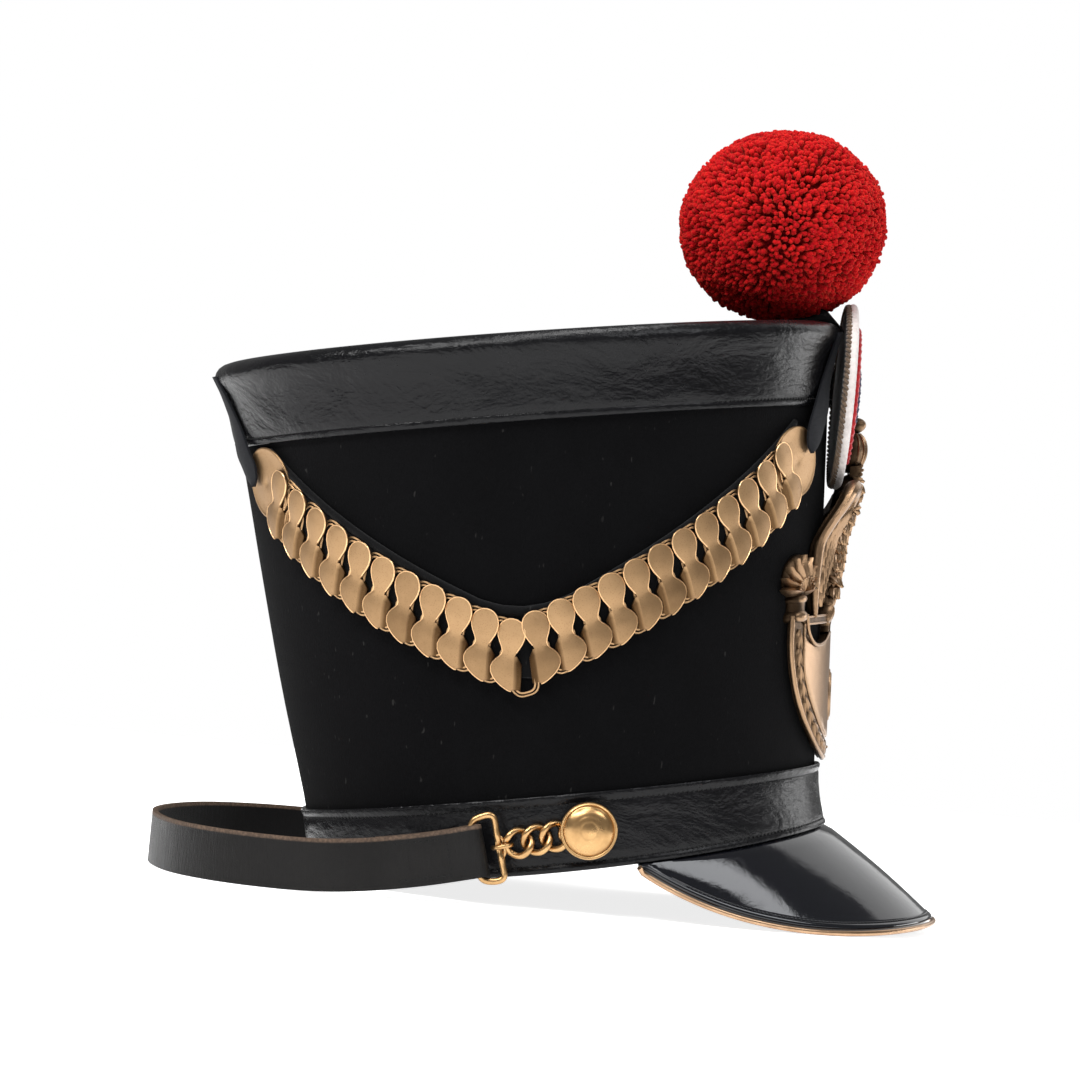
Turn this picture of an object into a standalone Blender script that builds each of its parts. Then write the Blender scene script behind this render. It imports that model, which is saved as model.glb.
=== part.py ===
"""A military shako hat: felt crown, leather bands, patent peak, pompom, cockade, cast badge,
figure-eight brass scales on both sides, and a leather chin strap laid behind the hat.

Units are metres. The hat is drawn in its own frame: its base oval is centred on the frame's origin, the
front is -Y, +Z runs up the crown and the wearer's right is -X. The frame is then tilted so that the peak's
edge and the rear of the base stand on z = 0. The strap and its chains are drawn in world axes.
"""

import math
import random
from collections import namedtuple

import bmesh
import bpy
from mathutils import Matrix, Vector

MM = 0.001

# ------------------------------------------------------------------ driving dimensions

# The felt's outer surface: half-lengths to the back, to the front and to the side, in millimetres.
Section = namedtuple("Section", "level back front side")
SECTIONS = (
    Section(0.0, 103.7, 103.6, 86.2),
    Section(15.0, 104.5, 102.6, 86.9),
    Section(30.0, 105.4, 104.2, 88.4),
    Section(75.0, 110.3, 110.2, 93.4),
    Section(120.0, 113.8, 116.2, 99.6),
    Section(165.0, 116.9, 122.3, 106.2),
    Section(201.0, 120.3, 127.0, 111.4),
)
TOP_LEVEL = 206.5 * MM          # top of the rolled rim
TOP_SINK = 0.028                # the top plane sinks towards the front
SIDE_DIP = 4.3 * MM             # how far the base edge dips at the sides
FELT_WALL = 2.6 * MM
RING_STEPS = 32                 # facets round the crown

GAP = 0.3 * MM                  # between pieces that touch on the real hat
SEAT = 0.5 * MM                 # the same, where the two pieces have different facets

BAND_TOP = 26.0 * MM            # head band's upper edge
LEATHER = 1.8 * MM

PEAK_HALF_ANGLE = math.radians(74)
PEAK_FADE_ANGLE = math.radians(78)      # where the peak's reach would become nothing
PEAK_REACH = 39.6 * MM
PEAK_DROP = 42.0 * MM
PEAK_REACH_POWER = 1.45
PEAK_DROP_POWER = 3.1
PEAK_BULGE = 1.0 * MM
PEAK_THICK = 2.2 * MM
PEAK_COLUMNS = 19
BINDING_RADIUS = 1.15 * MM

POMPOM_CENTRE = Vector((0, -112.4, 244.8)) * MM
POMPOM_RADII = Vector((43.0, 43.0, 39.8)) * MM
LOCK_LENGTH = 4.0 * MM
LOCK_INSET = 1.5 * MM

COCKADE_RADIUS = 38.0 * MM
COCKADE_LEAN = math.radians(11.0)
COCKADE_BACK = Vector((0, -128.1, 173.0)) * MM      # middle of its back face

# Scales: figure-eight plates on a chevron, in two sagging legs that meet low on the side.
REAR_TOP = (math.radians(148.4), 148.0 * MM)        # angle from the front, level
REAR_LOW = (math.radians(98.0), 82.2 * MM)
FRONT_LOW = (math.radians(91.4), 84.3 * MM)
FRONT_TOP = (math.radians(34.7), 144.3 * MM)
REAR_PLATE = (math.radians(151.8), 156.4 * MM)
FRONT_PLATE = (math.radians(30.9), 149.5 * MM)
APEX = (math.radians(94.3), 78.5 * MM)
LEG_SAG = 4.8 * MM              # of a leg's middle, below a straight line
APEX_RING_PLACE = (math.radians(96.3), 69.5 * MM)
APEX_RING_RADIUS = 4.5 * MM
REAR_SCALES = 11
FRONT_SCALES = 12
REAR_LEANS = (math.radians(30), math.radians(15))      # at the top and at the bottom of the leg
FRONT_LEANS = (math.radians(-29), math.radians(-8))
LOBE_HIGH = 7.8 * MM            # centre of the upper lobe above the plate's middle
LOBE_LOW = -6.8 * MM
LOBE_HIGH_RADIUS = 4.7 * MM
LOBE_LOW_RADIUS = 7.0 * MM
WAIST = 3.1 * MM
PLATE_HALF_WIDTH = 15.4 * MM
PLATE_HALF_HEIGHT = 14.3 * MM
CHEVRON_TOP = 17.0 * MM         # chevron's edges above and below the scales' middle line
CHEVRON_BOTTOM = -11.0 * MM
CHEVRON_OUT = SEAT + 1.3 * MM
SCALE_BASE = CHEVRON_OUT + SEAT
SCALE_THICK = 1.6 * MM
SCALE_LIFT = 1.6 * MM           # above the end plates
SCALE_PITCH_RISE = 0.05           # each plate leans on the next one by this slope

RIBBON_WIDTH = 10.0 * MM
RIBBON_THICK = 0.9 * MM

# Button, curb chain, buckle and strap, on each side.
BUTTON_PLACE = (math.radians(85.5), 13.4 * MM)
SHANK_RADIUS = 1.6 * MM
LINK_WIRE = 1.25 * MM
LINK_HALF_LENGTHS = (7.0 * MM, 5.3 * MM, 5.2 * MM, 5.0 * MM)
LINK_HALF_WIDTH = 5.0 * MM
LINK_POINTS = 10
CONNECTOR_RADIUS = 3.8 * MM     # ring between the last link and the buckle
CONNECTOR_WIRE = 0.9 * MM
LINK_TWIST = math.radians(35)
LINK_PLAY = 0.6 * MM
CHAIN_HEIGHT = 3.1 * MM         # the chain's axis above the band
CHAIN_SLOPE = math.radians(15.8)
CHAIN_YAW = math.radians(2.1)
BUCKLE_WIRE = 1.3 * MM
BUCKLE_LENGTH = 9.4 * MM
BUCKLE_HEIGHT = 25.4 * MM
BUCKLE_CORNER = 2.2 * MM

STRAP_WIDTH = 20.4 * MM
STRAP_THICK = 2.2 * MM
STRAP_FOLD = 38.0 * MM          # length of the folded-back end
STRAP_TURN_PLAY = 0.4 * MM      # between the buckle's bar and the leather round it
# The loop's middle line on the wearer's right: to the side, and behind the base's centre, in millimetres.
STRAP_PLAN = ((98, 68), (105, 98), (100.7, 128), (78, 151), (42, 163.5), (0, 168))
STRAP_STEPS = 3                 # stations between two of those places

BASE_CENTRE_Y = -9.0 * MM      # where the base's centre stands, so that the box is centred on the origin

# ------------------------------------------------------------------ scene, materials, helpers

for leftover in list(bpy.data.objects):
    bpy.data.objects.remove(leftover, do_unlink=True)

bpy.context.scene.unit_settings.scale_length = 1.0
shako = bpy.data.collections.new("shako")
bpy.context.scene.collection.children.link(shako)


def finish(name, colour, roughness, metallic):
    material = bpy.data.materials.new(name)
    material.use_nodes = True
    shader = material.node_tree.nodes["Principled BSDF"]
    shader.inputs["Base Color"].default_value = (*colour, 1)
    shader.inputs["Roughness"].default_value = roughness
    shader.inputs["Metallic"].default_value = metallic
    return material


FELT = finish("black_felt", (0.006, 0.006, 0.008), 0.95, 0)
LEATHER_BLACK = finish("black_leather", (0.012, 0.012, 0.013), 0.32, 0)
PATENT = finish("patent_leather", (0.004, 0.005, 0.009), 0.06, 0)
STRAP_LEATHER = finish("strap_leather", (0.014, 0.013, 0.013), 0.5, 0)
BRASS = finish("aged_brass", (0.58, 0.38, 0.18), 0.35, 1)
GOLD_BRASS = finish("bright_brass", (0.78, 0.50, 0.20), 0.22, 1)
CAST_BRASS = finish("cast_brass", (0.40, 0.26, 0.13), 0.4, 1)
RED_WOOL = finish("red_wool", (0.50, 0.01, 0.012), 0.9, 0)
WHITE_WOOL = finish("white_wool", (0.75, 0.70, 0.68), 0.9, 0)
RIBBON_BLACK = finish("black_ribbon", (0.010, 0.011, 0.015), 0.8, 0)


def add_object(name, data, material, parent):
    obj = bpy.data.objects.new(name, data)
    data.materials.clear()
    data.materials.append(material)
    shako.objects.link(obj)
    obj.parent = parent
    return obj


def mesh_from(name, bm):
    bmesh.ops.recalc_face_normals(bm, faces=bm.faces)
    if bm.calc_volume(signed=True) < 0:
        bmesh.ops.reverse_faces(bm, faces=bm.faces)
    mesh = bpy.data.meshes.new(name)
    bm.to_mesh(mesh)
    bm.free()
    mesh.shade_smooth()
    mesh.set_sharp_from_angle(angle=math.radians(40))
    return mesh


def loft(bm, rows, wrap=False):
    """Join closed profiles of equal length; the ends are capped unless the last joins the first."""
    rings = [[bm.verts.new(point) for point in row] for row in rows]
    pairs = list(zip(rings, rings[1:]))
    if wrap:
        pairs.append((rings[-1], rings[0]))
    else:
        bm.faces.new(rings[0])
        bm.faces.new(rings[-1])
    for ring, following in pairs:
        for i in range(len(ring)):
            j = (i + 1) % len(ring)
            bm.faces.new((ring[i], ring[j], following[j], following[i]))


def loft_object(name, rows, material, parent, wrap=False):
    bm = bmesh.new()
    loft(bm, rows, wrap)
    return add_object(name, mesh_from(name, bm), material, parent)


def evaluated_mesh(obj):
    depsgraph = bpy.context.evaluated_depsgraph_get()
    return bpy.data.meshes.new_from_object(obj.evaluated_get(depsgraph))


def unite(body, tool):
    """Fuse the tool into the body with an exact Boolean, and remove the tool."""
    union = body.modifiers.new("union", "BOOLEAN")
    union.operation = "UNION"
    union.solver = "EXACT"
    union.object = tool
    fused = evaluated_mesh(body)
    body.modifiers.clear()
    body.data = fused
    bpy.data.objects.remove(tool, do_unlink=True)
    return body


def wire(name, points, radius, material, parent, cyclic):
    """A round wire of six sides along a polyline."""
    curve = bpy.data.curves.new(name, "CURVE")
    curve.dimensions = "3D"
    curve.bevel_depth = radius
    curve.bevel_resolution = 1
    curve.use_fill_caps = True
    spline = curve.splines.new("POLY")
    spline.points.add(len(points) - 1)
    for slot, point in zip(spline.points, points):
        slot.co = (*point, 1)
    spline.use_cyclic_u = cyclic
    return add_object(name, curve, material, parent)


def turned(name, profile, steps, material, parent, frame):
    """A turned solid: a profile of (radius, height), top to bottom, screwed round the frame's Z."""
    bm = bmesh.new()
    verts = [bm.verts.new((radius, 0, height)) for radius, height in profile]
    for first, second in zip(verts, verts[1:]):
        bm.edges.new((first, second))
    mesh = bpy.data.meshes.new(name)
    bm.to_mesh(mesh)
    bm.free()
    obj = add_object(name, mesh, material, parent)
    screw = obj.modifiers.new("turn", "SCREW")
    screw.axis = "Z"
    screw.steps = steps
    screw.render_steps = steps
    screw.use_merge_vertices = True
    screw.merge_threshold = 0.00001
    obj.matrix_local = frame
    return obj


def interpolate(low, high, share):
    return low + (high - low) * share


def curve_between(start, end, leave, arrive, share):
    """A cubic from start to end, with its rates there; the values may be numbers or vectors."""
    squared = share * share
    cubed = squared * share
    return ((2 * cubed - 3 * squared + 1) * start + (3 * squared - 2 * cubed) * end
            + (cubed - 2 * squared + share) * leave + (cubed - squared) * arrive)


def smoothstep(low, high, value):
    share = min(1.0, max(0.0, (value - low) / (high - low)))
    return share * share * (3 - 2 * share)


# ------------------------------------------------------------------ the crown's surface

def radii_at(level):
    """Back, front and side half-lengths at a level, on a smooth curve through the sections."""
    height = level / MM
    last = len(SECTIONS) - 2
    span = next((i for i in range(last) if height < SECTIONS[i + 1].level), last)
    lower, upper = SECTIONS[span], SECTIONS[span + 1]
    before, after = SECTIONS[max(span - 1, 0)], SECTIONS[min(span + 2, last + 1)]
    width = upper.level - lower.level
    share = (height - lower.level) / width

    radii = []
    for column in ("back", "front", "side"):
        start, end = getattr(lower, column), getattr(upper, column)
        leave = (end - getattr(before, column)) * width / (upper.level - before.level)
        arrive = (getattr(after, column) - start) * width / (after.level - lower.level)
        radii.append(curve_between(start, end, leave, arrive, share) * MM)
    return radii


def wall_point(angle, level, proud):
    """A point outside the felt; the angle starts at the front and grows to the wearer's right."""
    back, front, side = radii_at(level)
    reach = front if math.cos(angle) > 0 else back
    x = -side * math.sin(angle)
    y = -reach * math.cos(angle)
    normal = Vector((x / side ** 2, y / reach ** 2)).normalized()
    x += proud * normal.x
    y += proud * normal.y
    dip = SIDE_DIP * math.sin(angle) ** 2 * max(0.0, 1 - level / BAND_TOP)
    z = level + y * TOP_SINK * math.sqrt(max(level, 0.0) / TOP_LEVEL) - dip
    return Vector((x, y, z))


def wall_normal(angle, level):
    return (wall_point(angle, level, 1 * MM) - wall_point(angle, level, 0)).normalized()


def angle_beside(angle, level, distance):
    """The angle that lies a distance further round the wall."""
    back, front, side = radii_at(level)
    reach = front if math.cos(angle) > 0 else back
    rate = math.hypot(side * math.cos(angle), reach * math.sin(angle))
    return angle + distance / rate


def beside(place, across, up, proud, hand):
    """A point on the wall near a place: across is towards the back, up is along the crown.

    The hand is 1 on the wearer's right and -1 on the left.
    """
    angle, level = place
    return wall_point(hand * angle_beside(angle, level, across), level + up, proud)


def ring_rows(profile):
    """The same closed profile of (level, proud) in millimetres, at every angle round the crown."""
    return [[wall_point(math.tau * step / RING_STEPS, level * MM, proud * MM) for level, proud in profile]
            for step in range(RING_STEPS)]


# ------------------------------------------------------------------ the hat's frame at rest

def peak_edge(angle):
    """Root and edge of the peak's outer face at an angle from the front, and its outward normal."""
    root = wall_point(angle, 0, GAP + LEATHER)
    root.z -= GAP
    plan = wall_normal(angle, 0)
    fade = abs(angle) / PEAK_FADE_ANGLE
    reach = PEAK_REACH * math.cos(fade * math.pi / 2) ** PEAK_REACH_POWER
    edge = root + plan * reach
    edge.z = -PEAK_DROP * (1 - fade ** PEAK_DROP_POWER)
    drop = root.z - edge.z
    outward = (plan * drop + Vector((0, 0, reach))).normalized()
    return root, edge, outward


def binding_centre(angle):
    """The binding's centre, square off the peak's edge."""
    root, edge, outward = peak_edge(angle)
    tangent = (peak_edge(angle + 0.01)[1] - peak_edge(angle - 0.01)[1]).normalized()
    along = (edge - root).normalized()
    away = (along - tangent * along.dot(tangent)).normalized()
    return edge - outward * (PEAK_THICK / 2) + away * (BINDING_RADIUS + SEAT)


def peak_angles():
    shares = [column / (PEAK_COLUMNS - 1) for column in range(PEAK_COLUMNS)]
    return [interpolate(-PEAK_HALF_ANGLE, PEAK_HALF_ANGLE, share) for share in shares]


REAR_EDGE = wall_point(math.pi, 0, GAP + LEATHER)


def resting_tilt():
    """The tilt at which the rear of the base and the lowest parts of the peak's edge share a floor."""
    steepest = 0.0
    for angle in peak_angles():
        centre = binding_centre(angle)
        run = REAR_EDGE.y - centre.y
        rise = REAR_EDGE.z - centre.z
        reach = math.hypot(run, rise)
        steepest = max(steepest, math.atan2(rise, run) + math.asin(BINDING_RADIUS / reach))
    return steepest


TILT = resting_tilt()
tilted = Matrix.Rotation(-TILT, 4, "X")
FLOOR_LIFT = -(tilted @ REAR_EDGE).z
HAT_TO_WORLD = Matrix.Translation((0, BASE_CENTRE_Y, FLOOR_LIFT)) @ tilted

hat_frame = bpy.data.objects.new("hat_frame", None)
shako.objects.link(hat_frame)
hat_frame.matrix_world = HAT_TO_WORLD


# ------------------------------------------------------------------ crown and bands

def make_crown():
    wall = FELT_WALL / MM
    outer = [(1.0, 0), (15, 0), (30, 0), (75, 0), (120, 0), (165, 0), (201, 0)]
    inner = [(201, -wall), (30, -wall), (1.0, -wall)]
    loft_object("crown_shell", ring_rows(outer + inner), FELT, hat_frame, wrap=True)


def make_crown_top():
    """A leather disc that sinks a little towards its middle."""
    edge_level = 201.3 * MM
    thickness = 2.0 * MM
    sink = 4.0 * MM
    centre = (wall_point(0, edge_level, 0) + wall_point(math.pi, edge_level, 0)) / 2

    def ring(share, height):
        points = []
        for step in range(RING_STEPS):
            rim = wall_point(math.tau * step / RING_STEPS, 201 * MM, -0.5 * MM)
            rim.z += edge_level - 201 * MM
            point = centre.lerp(rim, share)
            point.z += height - sink * (1 - share ** 2)
            points.append(point)
        return points

    rows = [ring(0.5, 0), ring(1, 0), ring(1, thickness), ring(0.5, thickness)]
    loft_object("crown_top", rows, LEATHER_BLACK, hat_frame)


# Closed profiles as (level, proud) in millimetres.
TOP_BAND_PROFILE = (
    (172.0, 0.3), (172.0, 1.9), (197.0, 3.2), (201.5, 4.8),
    (205.0, 3.8), (206.5, 0.2), (205.6, -5.5), (203.7, -5.5), (203.7, 0.3),
)
HEAD_BAND_PROFILE = (
    (0.0, 0.3), (0.0, 2.4), (12.0, 2.0), (22.5, 2.1), (24.6, 3.0), (26.0, 2.4), (26.0, 0.3), (12.0, 0.3),
)


def make_bands():
    loft_object("top_band", ring_rows(TOP_BAND_PROFILE), LEATHER_BLACK, hat_frame, wrap=True)
    loft_object("head_band", ring_rows(HEAD_BAND_PROFILE), LEATHER_BLACK, hat_frame, wrap=True)


# ------------------------------------------------------------------ peak

def make_peak():
    shares = (0, 0.3, 0.65, 1)
    rows = []
    for angle in peak_angles():
        root, edge, outward = peak_edge(angle)
        length = (edge - root).length
        bulge = min(PEAK_BULGE, length / 20)
        face = [root.lerp(edge, share) + outward * bulge * math.sin(math.pi * share) for share in shares]
        under = [point - outward * PEAK_THICK for point in reversed(face)]
        rows.append(face + under)
    loft_object("peak", rows, PATENT, hat_frame)
    centres = [binding_centre(angle) for angle in peak_angles()]
    wire("peak_binding", centres, BINDING_RADIUS, GOLD_BRASS, hat_frame, cyclic=False)


# ------------------------------------------------------------------ pompom and cockade

def make_pompom():
    """A ball of wool: every face of a ball is drawn out into one lock."""
    locks_per_edge = 4
    spread = random.Random(7)
    bm = bmesh.new()
    bmesh.ops.create_cube(bm, size=2)
    bmesh.ops.subdivide_edges(bm, edges=bm.edges, cuts=locks_per_edge - 1, use_grid_fill=True)
    for vert in bm.verts:
        vert.co = Vector([math.tan(value * math.pi / 4) for value in vert.co]).normalized()
        shrunk = POMPOM_RADII - Vector((LOCK_LENGTH,) * 3)
        vert.co = Vector([value * radius for value, radius in zip(vert.co, shrunk)])
    locks = list(bm.faces)
    bmesh.ops.inset_individual(bm, faces=locks, thickness=LOCK_INSET, depth=LOCK_LENGTH,
                               use_even_offset=True)
    for lock in locks:
        middle = lock.calc_center_median()
        shift = middle.normalized() * spread.uniform(-1.2, 0) * MM
        for vert in lock.verts:
            vert.co += shift
    bmesh.ops.translate(bm, verts=bm.verts, vec=POMPOM_CENTRE)
    add_object("pompom", mesh_from("pompom", bm), RED_WOOL, hat_frame)


def make_pompom_holder():
    """A black leather block between the front rim and the pompom; its outline as (y, z)."""
    outline = ((-131.2, 203.3), (-127.0, 206.3), (-118.0, 204.6), (-107.0, 204.5), (-104.5, 203.9),
               (-110.0, 203.1), (-126.0, 203.5))
    half_width = 7 * MM
    rows = [[Vector((x, y * MM, z * MM)) for y, z in outline] for x in (-half_width, half_width)]
    loft_object("pompom_holder", rows, LEATHER_BLACK, hat_frame)


def make_cockade():
    """A flat round cockade of three knitted rings, higher towards its middle, with a corded back edge."""
    radius = COCKADE_RADIUS / MM
    profile = [(0, 5.8), (11, 5.4), (12, 4.9), (22.5, 4.9), (23.5, 4.3), (33, 4.3),
               (radius, 3.2), (radius, 0), (0, 0)]
    facing = Matrix.Translation(COCKADE_BACK) @ Matrix.Rotation(math.pi / 2 + COCKADE_LEAN, 4, "X")
    turned("cockade", [(r * MM, h * MM) for r, h in profile], 22, WHITE_WOOL, hat_frame, facing)


# ------------------------------------------------------------------ badge

BADGE_LIFT = 9.2 * MM           # how far the eagle's head stands off to clear the cockade
LIFT_START = 112 * MM
LIFT_END = 136 * MM
LIFT_SLOPE = 0.05               # further rise above the lift, following the cockade
BADGE_SEAT = 0.6 * MM
BADGE_REACH = 117 * MM          # how far the badge stands in front of the crown's axis
BEND_STEP = 18 * MM

SHIELD_ARC = ((52.5, 87), (52.2, 76), (50, 65), (45.5, 54), (38, 43.5), (27, 34.5), (13.5, 29), (0, 27.5))
SHIELD_TOP = ((43, 87), (40, 79), (33, 74.5), (22, 75), (11, 78))
BORDER_INNER = ((43.5, 80), (42.5, 68), (38.5, 58), (31.5, 49), (22, 41.5), (11, 37), (0, 35.5))
WING = ((8, 127), (13, 135), (20, 138), (27, 134.5), (33, 125), (37, 110), (37.5, 96), (35, 86), (31.5, 88),
        (27, 97), (21, 103), (14, 106), (8, 106))
WING_EDGE = ((13, 135), (20, 138), (27, 134.5), (33, 125), (37, 110), (37.5, 96), (35, 86), (33.5, 95),
             (32.5, 109), (28.5, 122), (22.5, 131))
COLLAR = ((42, 85), (42, 95), (53.5, 95), (53.5, 85))
BAR = ((15, 82.5), (15, 86.5), (44, 86.5), (44, 82.5))
TAIL = ((8, 95), (12, 77), (0, 75), (-12, 77), (-8, 95))
PERCH = ((24, 81.5), (24, 85.5), (-24, 85.5), (-24, 81.5))
CROWN_BAND = ((7, 141), (7.5, 145), (-7.5, 145), (-7, 141))

# Raised rounded forms of the badge, in millimetres; the detail is the ball's subdivision.
Round = namedtuple("Round", "across up half_width half_height relief detail")
ROUNDS = (
    Round(0, 113, 12.5, 20, 8.5, 2),         # breast
    Round(0, 133, 6.5, 9, 6.0, 2),           # head
    Round(-7, 133, 4.8, 2.8, 4.6, 1),        # beak
    Round(8.5, 97, 5.8, 9, 6.4, 1),          # legs
    Round(-8.5, 97, 5.8, 9, 6.4, 1),
    Round(12, 86, 6.8, 4.2, 5.6, 1),         # claws
    Round(-12, 86, 6.8, 4.2, 5.6, 1),
    Round(0, 150.5, 8, 8.5, 5.4, 2),         # crown
    Round(0, 161.5, 3.2, 3.8, 5.0, 1),       # orb
    Round(0, 53, 7.4, 10.6, 3.2, 1),         # plain boss in the shield's field
    Round(47.7, 102.5, 8.2, 9.6, 4.8, 1),    # palmettes
    Round(-47.7, 102.5, 8.2, 9.6, 4.8, 1),
)


def mirrored(outline):
    return tuple((-across, up) for across, up in reversed(outline))


def slab(outline, low, high):
    rows = [[Vector((across, up, depth)) * MM for across, up in outline] for depth in (low, high)]
    return loft_object("badge_slab", rows, CAST_BRASS, None)


def low_dome(form):
    bm = bmesh.new()
    bmesh.ops.create_icosphere(bm, subdivisions=form.detail, radius=1)
    size = Vector((form.half_width, form.half_height, form.relief)) * MM
    bmesh.ops.scale(bm, verts=bm.verts, vec=size)
    whole = bm.verts[:] + bm.edges[:] + bm.faces[:]
    bmesh.ops.bisect_plane(bm, geom=whole, plane_co=(0, 0, 0.7 * MM), plane_no=(0, 0, 1), clear_inner=True)
    bmesh.ops.holes_fill(bm, edges=bm.edges)
    bmesh.ops.translate(bm, verts=bm.verts, vec=Vector((form.across, form.up, -0.3)) * MM)
    return add_object("badge_dome", mesh_from("badge_dome", bm), CAST_BRASS, None)


def bend_to_crown(obj):
    """Cut the flat badge into strips and lay them on the front of the crown."""
    bm = bmesh.new()
    bm.from_mesh(obj.data)
    cuts = [(Vector((index * BEND_STEP, 0, 0)), Vector((1, 0, 0))) for index in range(-2, 3)]
    cuts += [(Vector((0, up * MM, 0)), Vector((0, 1, 0))) for up in (112, 124, 136)]
    for point, normal in cuts:
        whole = bm.verts[:] + bm.edges[:] + bm.faces[:]
        bmesh.ops.bisect_plane(bm, geom=whole, plane_co=point, plane_no=normal, dist=1e-6)
    for vert in bm.verts:
        across, up, depth = vert.co
        lift = BADGE_LIFT * smoothstep(LIFT_START, LIFT_END, up) + LIFT_SLOPE * max(0.0, up - LIFT_END)
        sunk = BADGE_REACH * TOP_SINK * math.sqrt(up / TOP_LEVEL)
        level = up * TOP_LEVEL / (TOP_LEVEL - sunk)
        vert.co = wall_point(angle_beside(0, level, -across), level, BADGE_SEAT + lift + depth)
    obj.data = mesh_from("badge", bm)


def make_badge():
    shield = SHIELD_ARC + mirrored(SHIELD_ARC)[1:]
    shield = shield + tuple((-across, up) for across, up in SHIELD_TOP) + SHIELD_TOP[::-1]
    border = SHIELD_ARC + mirrored(SHIELD_ARC)[1:]
    border = border + tuple((-across, up) for across, up in BORDER_INNER) + BORDER_INNER[::-1][1:]
    badge = slab(shield, 0, 1.5)
    slabs = [(border, 1.0, 2.9), (TAIL, 0, 2.6), (PERCH, 0, 3.6), (CROWN_BAND, 0, 4.6)]
    for outline, low, high in ((WING, 0, 3.4), (WING_EDGE, 2.0, 4.8), (COLLAR, 0, 4.2), (BAR, 0, 2.4)):
        slabs += [(outline, low, high), (mirrored(outline), low, high)]
    for outline, low, high in slabs:
        unite(badge, slab(outline, low, high))
    for form in ROUNDS:
        unite(badge, low_dome(form))
    badge.name = "badge"
    badge.parent = hat_frame
    bend_to_crown(badge)
    badge.data.materials.clear()
    badge.data.materials.append(CAST_BRASS)


# ------------------------------------------------------------------ scales

def leg_place(top, low, share):
    """A place on a leg, which sags between its two ends."""
    sag = 4 * LEG_SAG * share * (1 - share)
    return (interpolate(top[0], low[0], share), interpolate(top[1], low[1], share) - sag)


def scale_outline(lean):
    """Figure-eight outline, five points on each lobe and one at each side of the waist."""
    points = []
    lobes = ((LOBE_HIGH, LOBE_HIGH_RADIUS, 0, -1), (LOBE_LOW, LOBE_LOW_RADIUS, 180, 1))
    for centre, radius, start, side in lobes:
        for step in range(5):
            turn = math.radians(start + step * 45)
            points.append((radius * math.cos(turn), centre + radius * math.sin(turn)))
        points.append((side * WAIST, 0.3 * MM))
    return [(across * math.cos(lean) - up * math.sin(lean), across * math.sin(lean) + up * math.cos(lean))
            for across, up in points]


def flat_scale(x, level, lean):
    """One plate in flat (distance round the wall, level, proud), a little higher at one side."""
    base = SCALE_BASE + SCALE_LIFT
    rows = [[Vector((x + across, level + up, height + across * SCALE_PITCH_RISE))
             for across, up in scale_outline(lean)] for height in (base, base + SCALE_THICK)]
    return loft_object("plate", rows, BRASS, None)


def flat_ring(x, level):
    """The wire ring that hangs where the two legs meet, in flat coordinates."""
    points = []
    for step in range(10):
        turn = math.tau * step / 10
        points.append((x + APEX_RING_RADIUS * math.cos(turn), level + APEX_RING_RADIUS * math.sin(turn),
                       SCALE_BASE + 1.3 * MM))
    return meshed(wire("apex_ring", points, 0.9 * MM, BRASS, None, cyclic=True))


def make_scales(name, top, low, count, leans, hand, ring):
    """A leg of plates whose lower lobes overlap: fused flat, then bent round the crown."""
    rate = angle_beside(low[0], low[1], 1.0) - low[0]
    body = flat_scale(top[0] / rate, top[1], leans[0])
    body.name = name
    for index in range(1, count):
        share = index / (count - 1)
        angle, level = leg_place(top, low, share)
        unite(body, flat_scale(angle / rate, level, interpolate(*leans, share)))
    if ring:
        unite(body, flat_ring(APEX_RING_PLACE[0] / rate, APEX_RING_PLACE[1]))
    bm = bmesh.new()
    bm.from_mesh(body.data)
    for vert in bm.verts:
        vert.co = wall_point(hand * vert.co.x * rate, vert.co.y, vert.co.z)
    body.data = mesh_from(name, bm)
    body.data.materials.append(BRASS)
    body.parent = hat_frame


def meshed(curve_object):
    """A closed mesh object in place of a wire."""
    bm = bmesh.new()
    bm.from_mesh(evaluated_mesh(curve_object))
    bmesh.ops.remove_doubles(bm, verts=bm.verts, dist=0.00001)
    bpy.data.objects.remove(curve_object, do_unlink=True)
    return add_object("meshed_wire", mesh_from("meshed_wire", bm), BRASS, None)


def make_end_plate(name, place, hand):
    """A thin round plate that follows the wall."""
    steps = 14
    thickness = 0.8 * MM

    def ring(share, proud):
        turns = [math.tau * step / steps for step in range(steps)]
        return [beside(place, share * PLATE_HALF_WIDTH * math.cos(turn),
                       share * PLATE_HALF_HEIGHT * math.sin(turn), proud, hand) for turn in turns]

    low = SCALE_BASE
    high = low + thickness
    rows = [ring(0.45, low), ring(1, low), ring(1, high), ring(0.45, high)]
    loft_object(name, rows, BRASS, hat_frame)


def make_chevron(name, hand):
    """A black V on the felt, from the front plate down to the apex and up to the rear plate."""
    steps = 8
    leg_rear = [leg_place(REAR_PLATE, APEX, index / steps) for index in range(steps)]
    leg_front = [leg_place(APEX, FRONT_PLATE, index / steps) for index in range(steps + 1)]
    rows = []
    for place in leg_rear + leg_front:
        ends_up = min(CHEVRON_TOP, 170 * MM - place[1])
        row = [beside(place, 0, up, proud, hand)
               for up, proud in ((CHEVRON_BOTTOM, SEAT), (ends_up, SEAT), (ends_up, CHEVRON_OUT),
                                 (CHEVRON_BOTTOM, CHEVRON_OUT))]
        rows.append(row)
    loft_object(name, rows, FELT, hat_frame)


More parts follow.
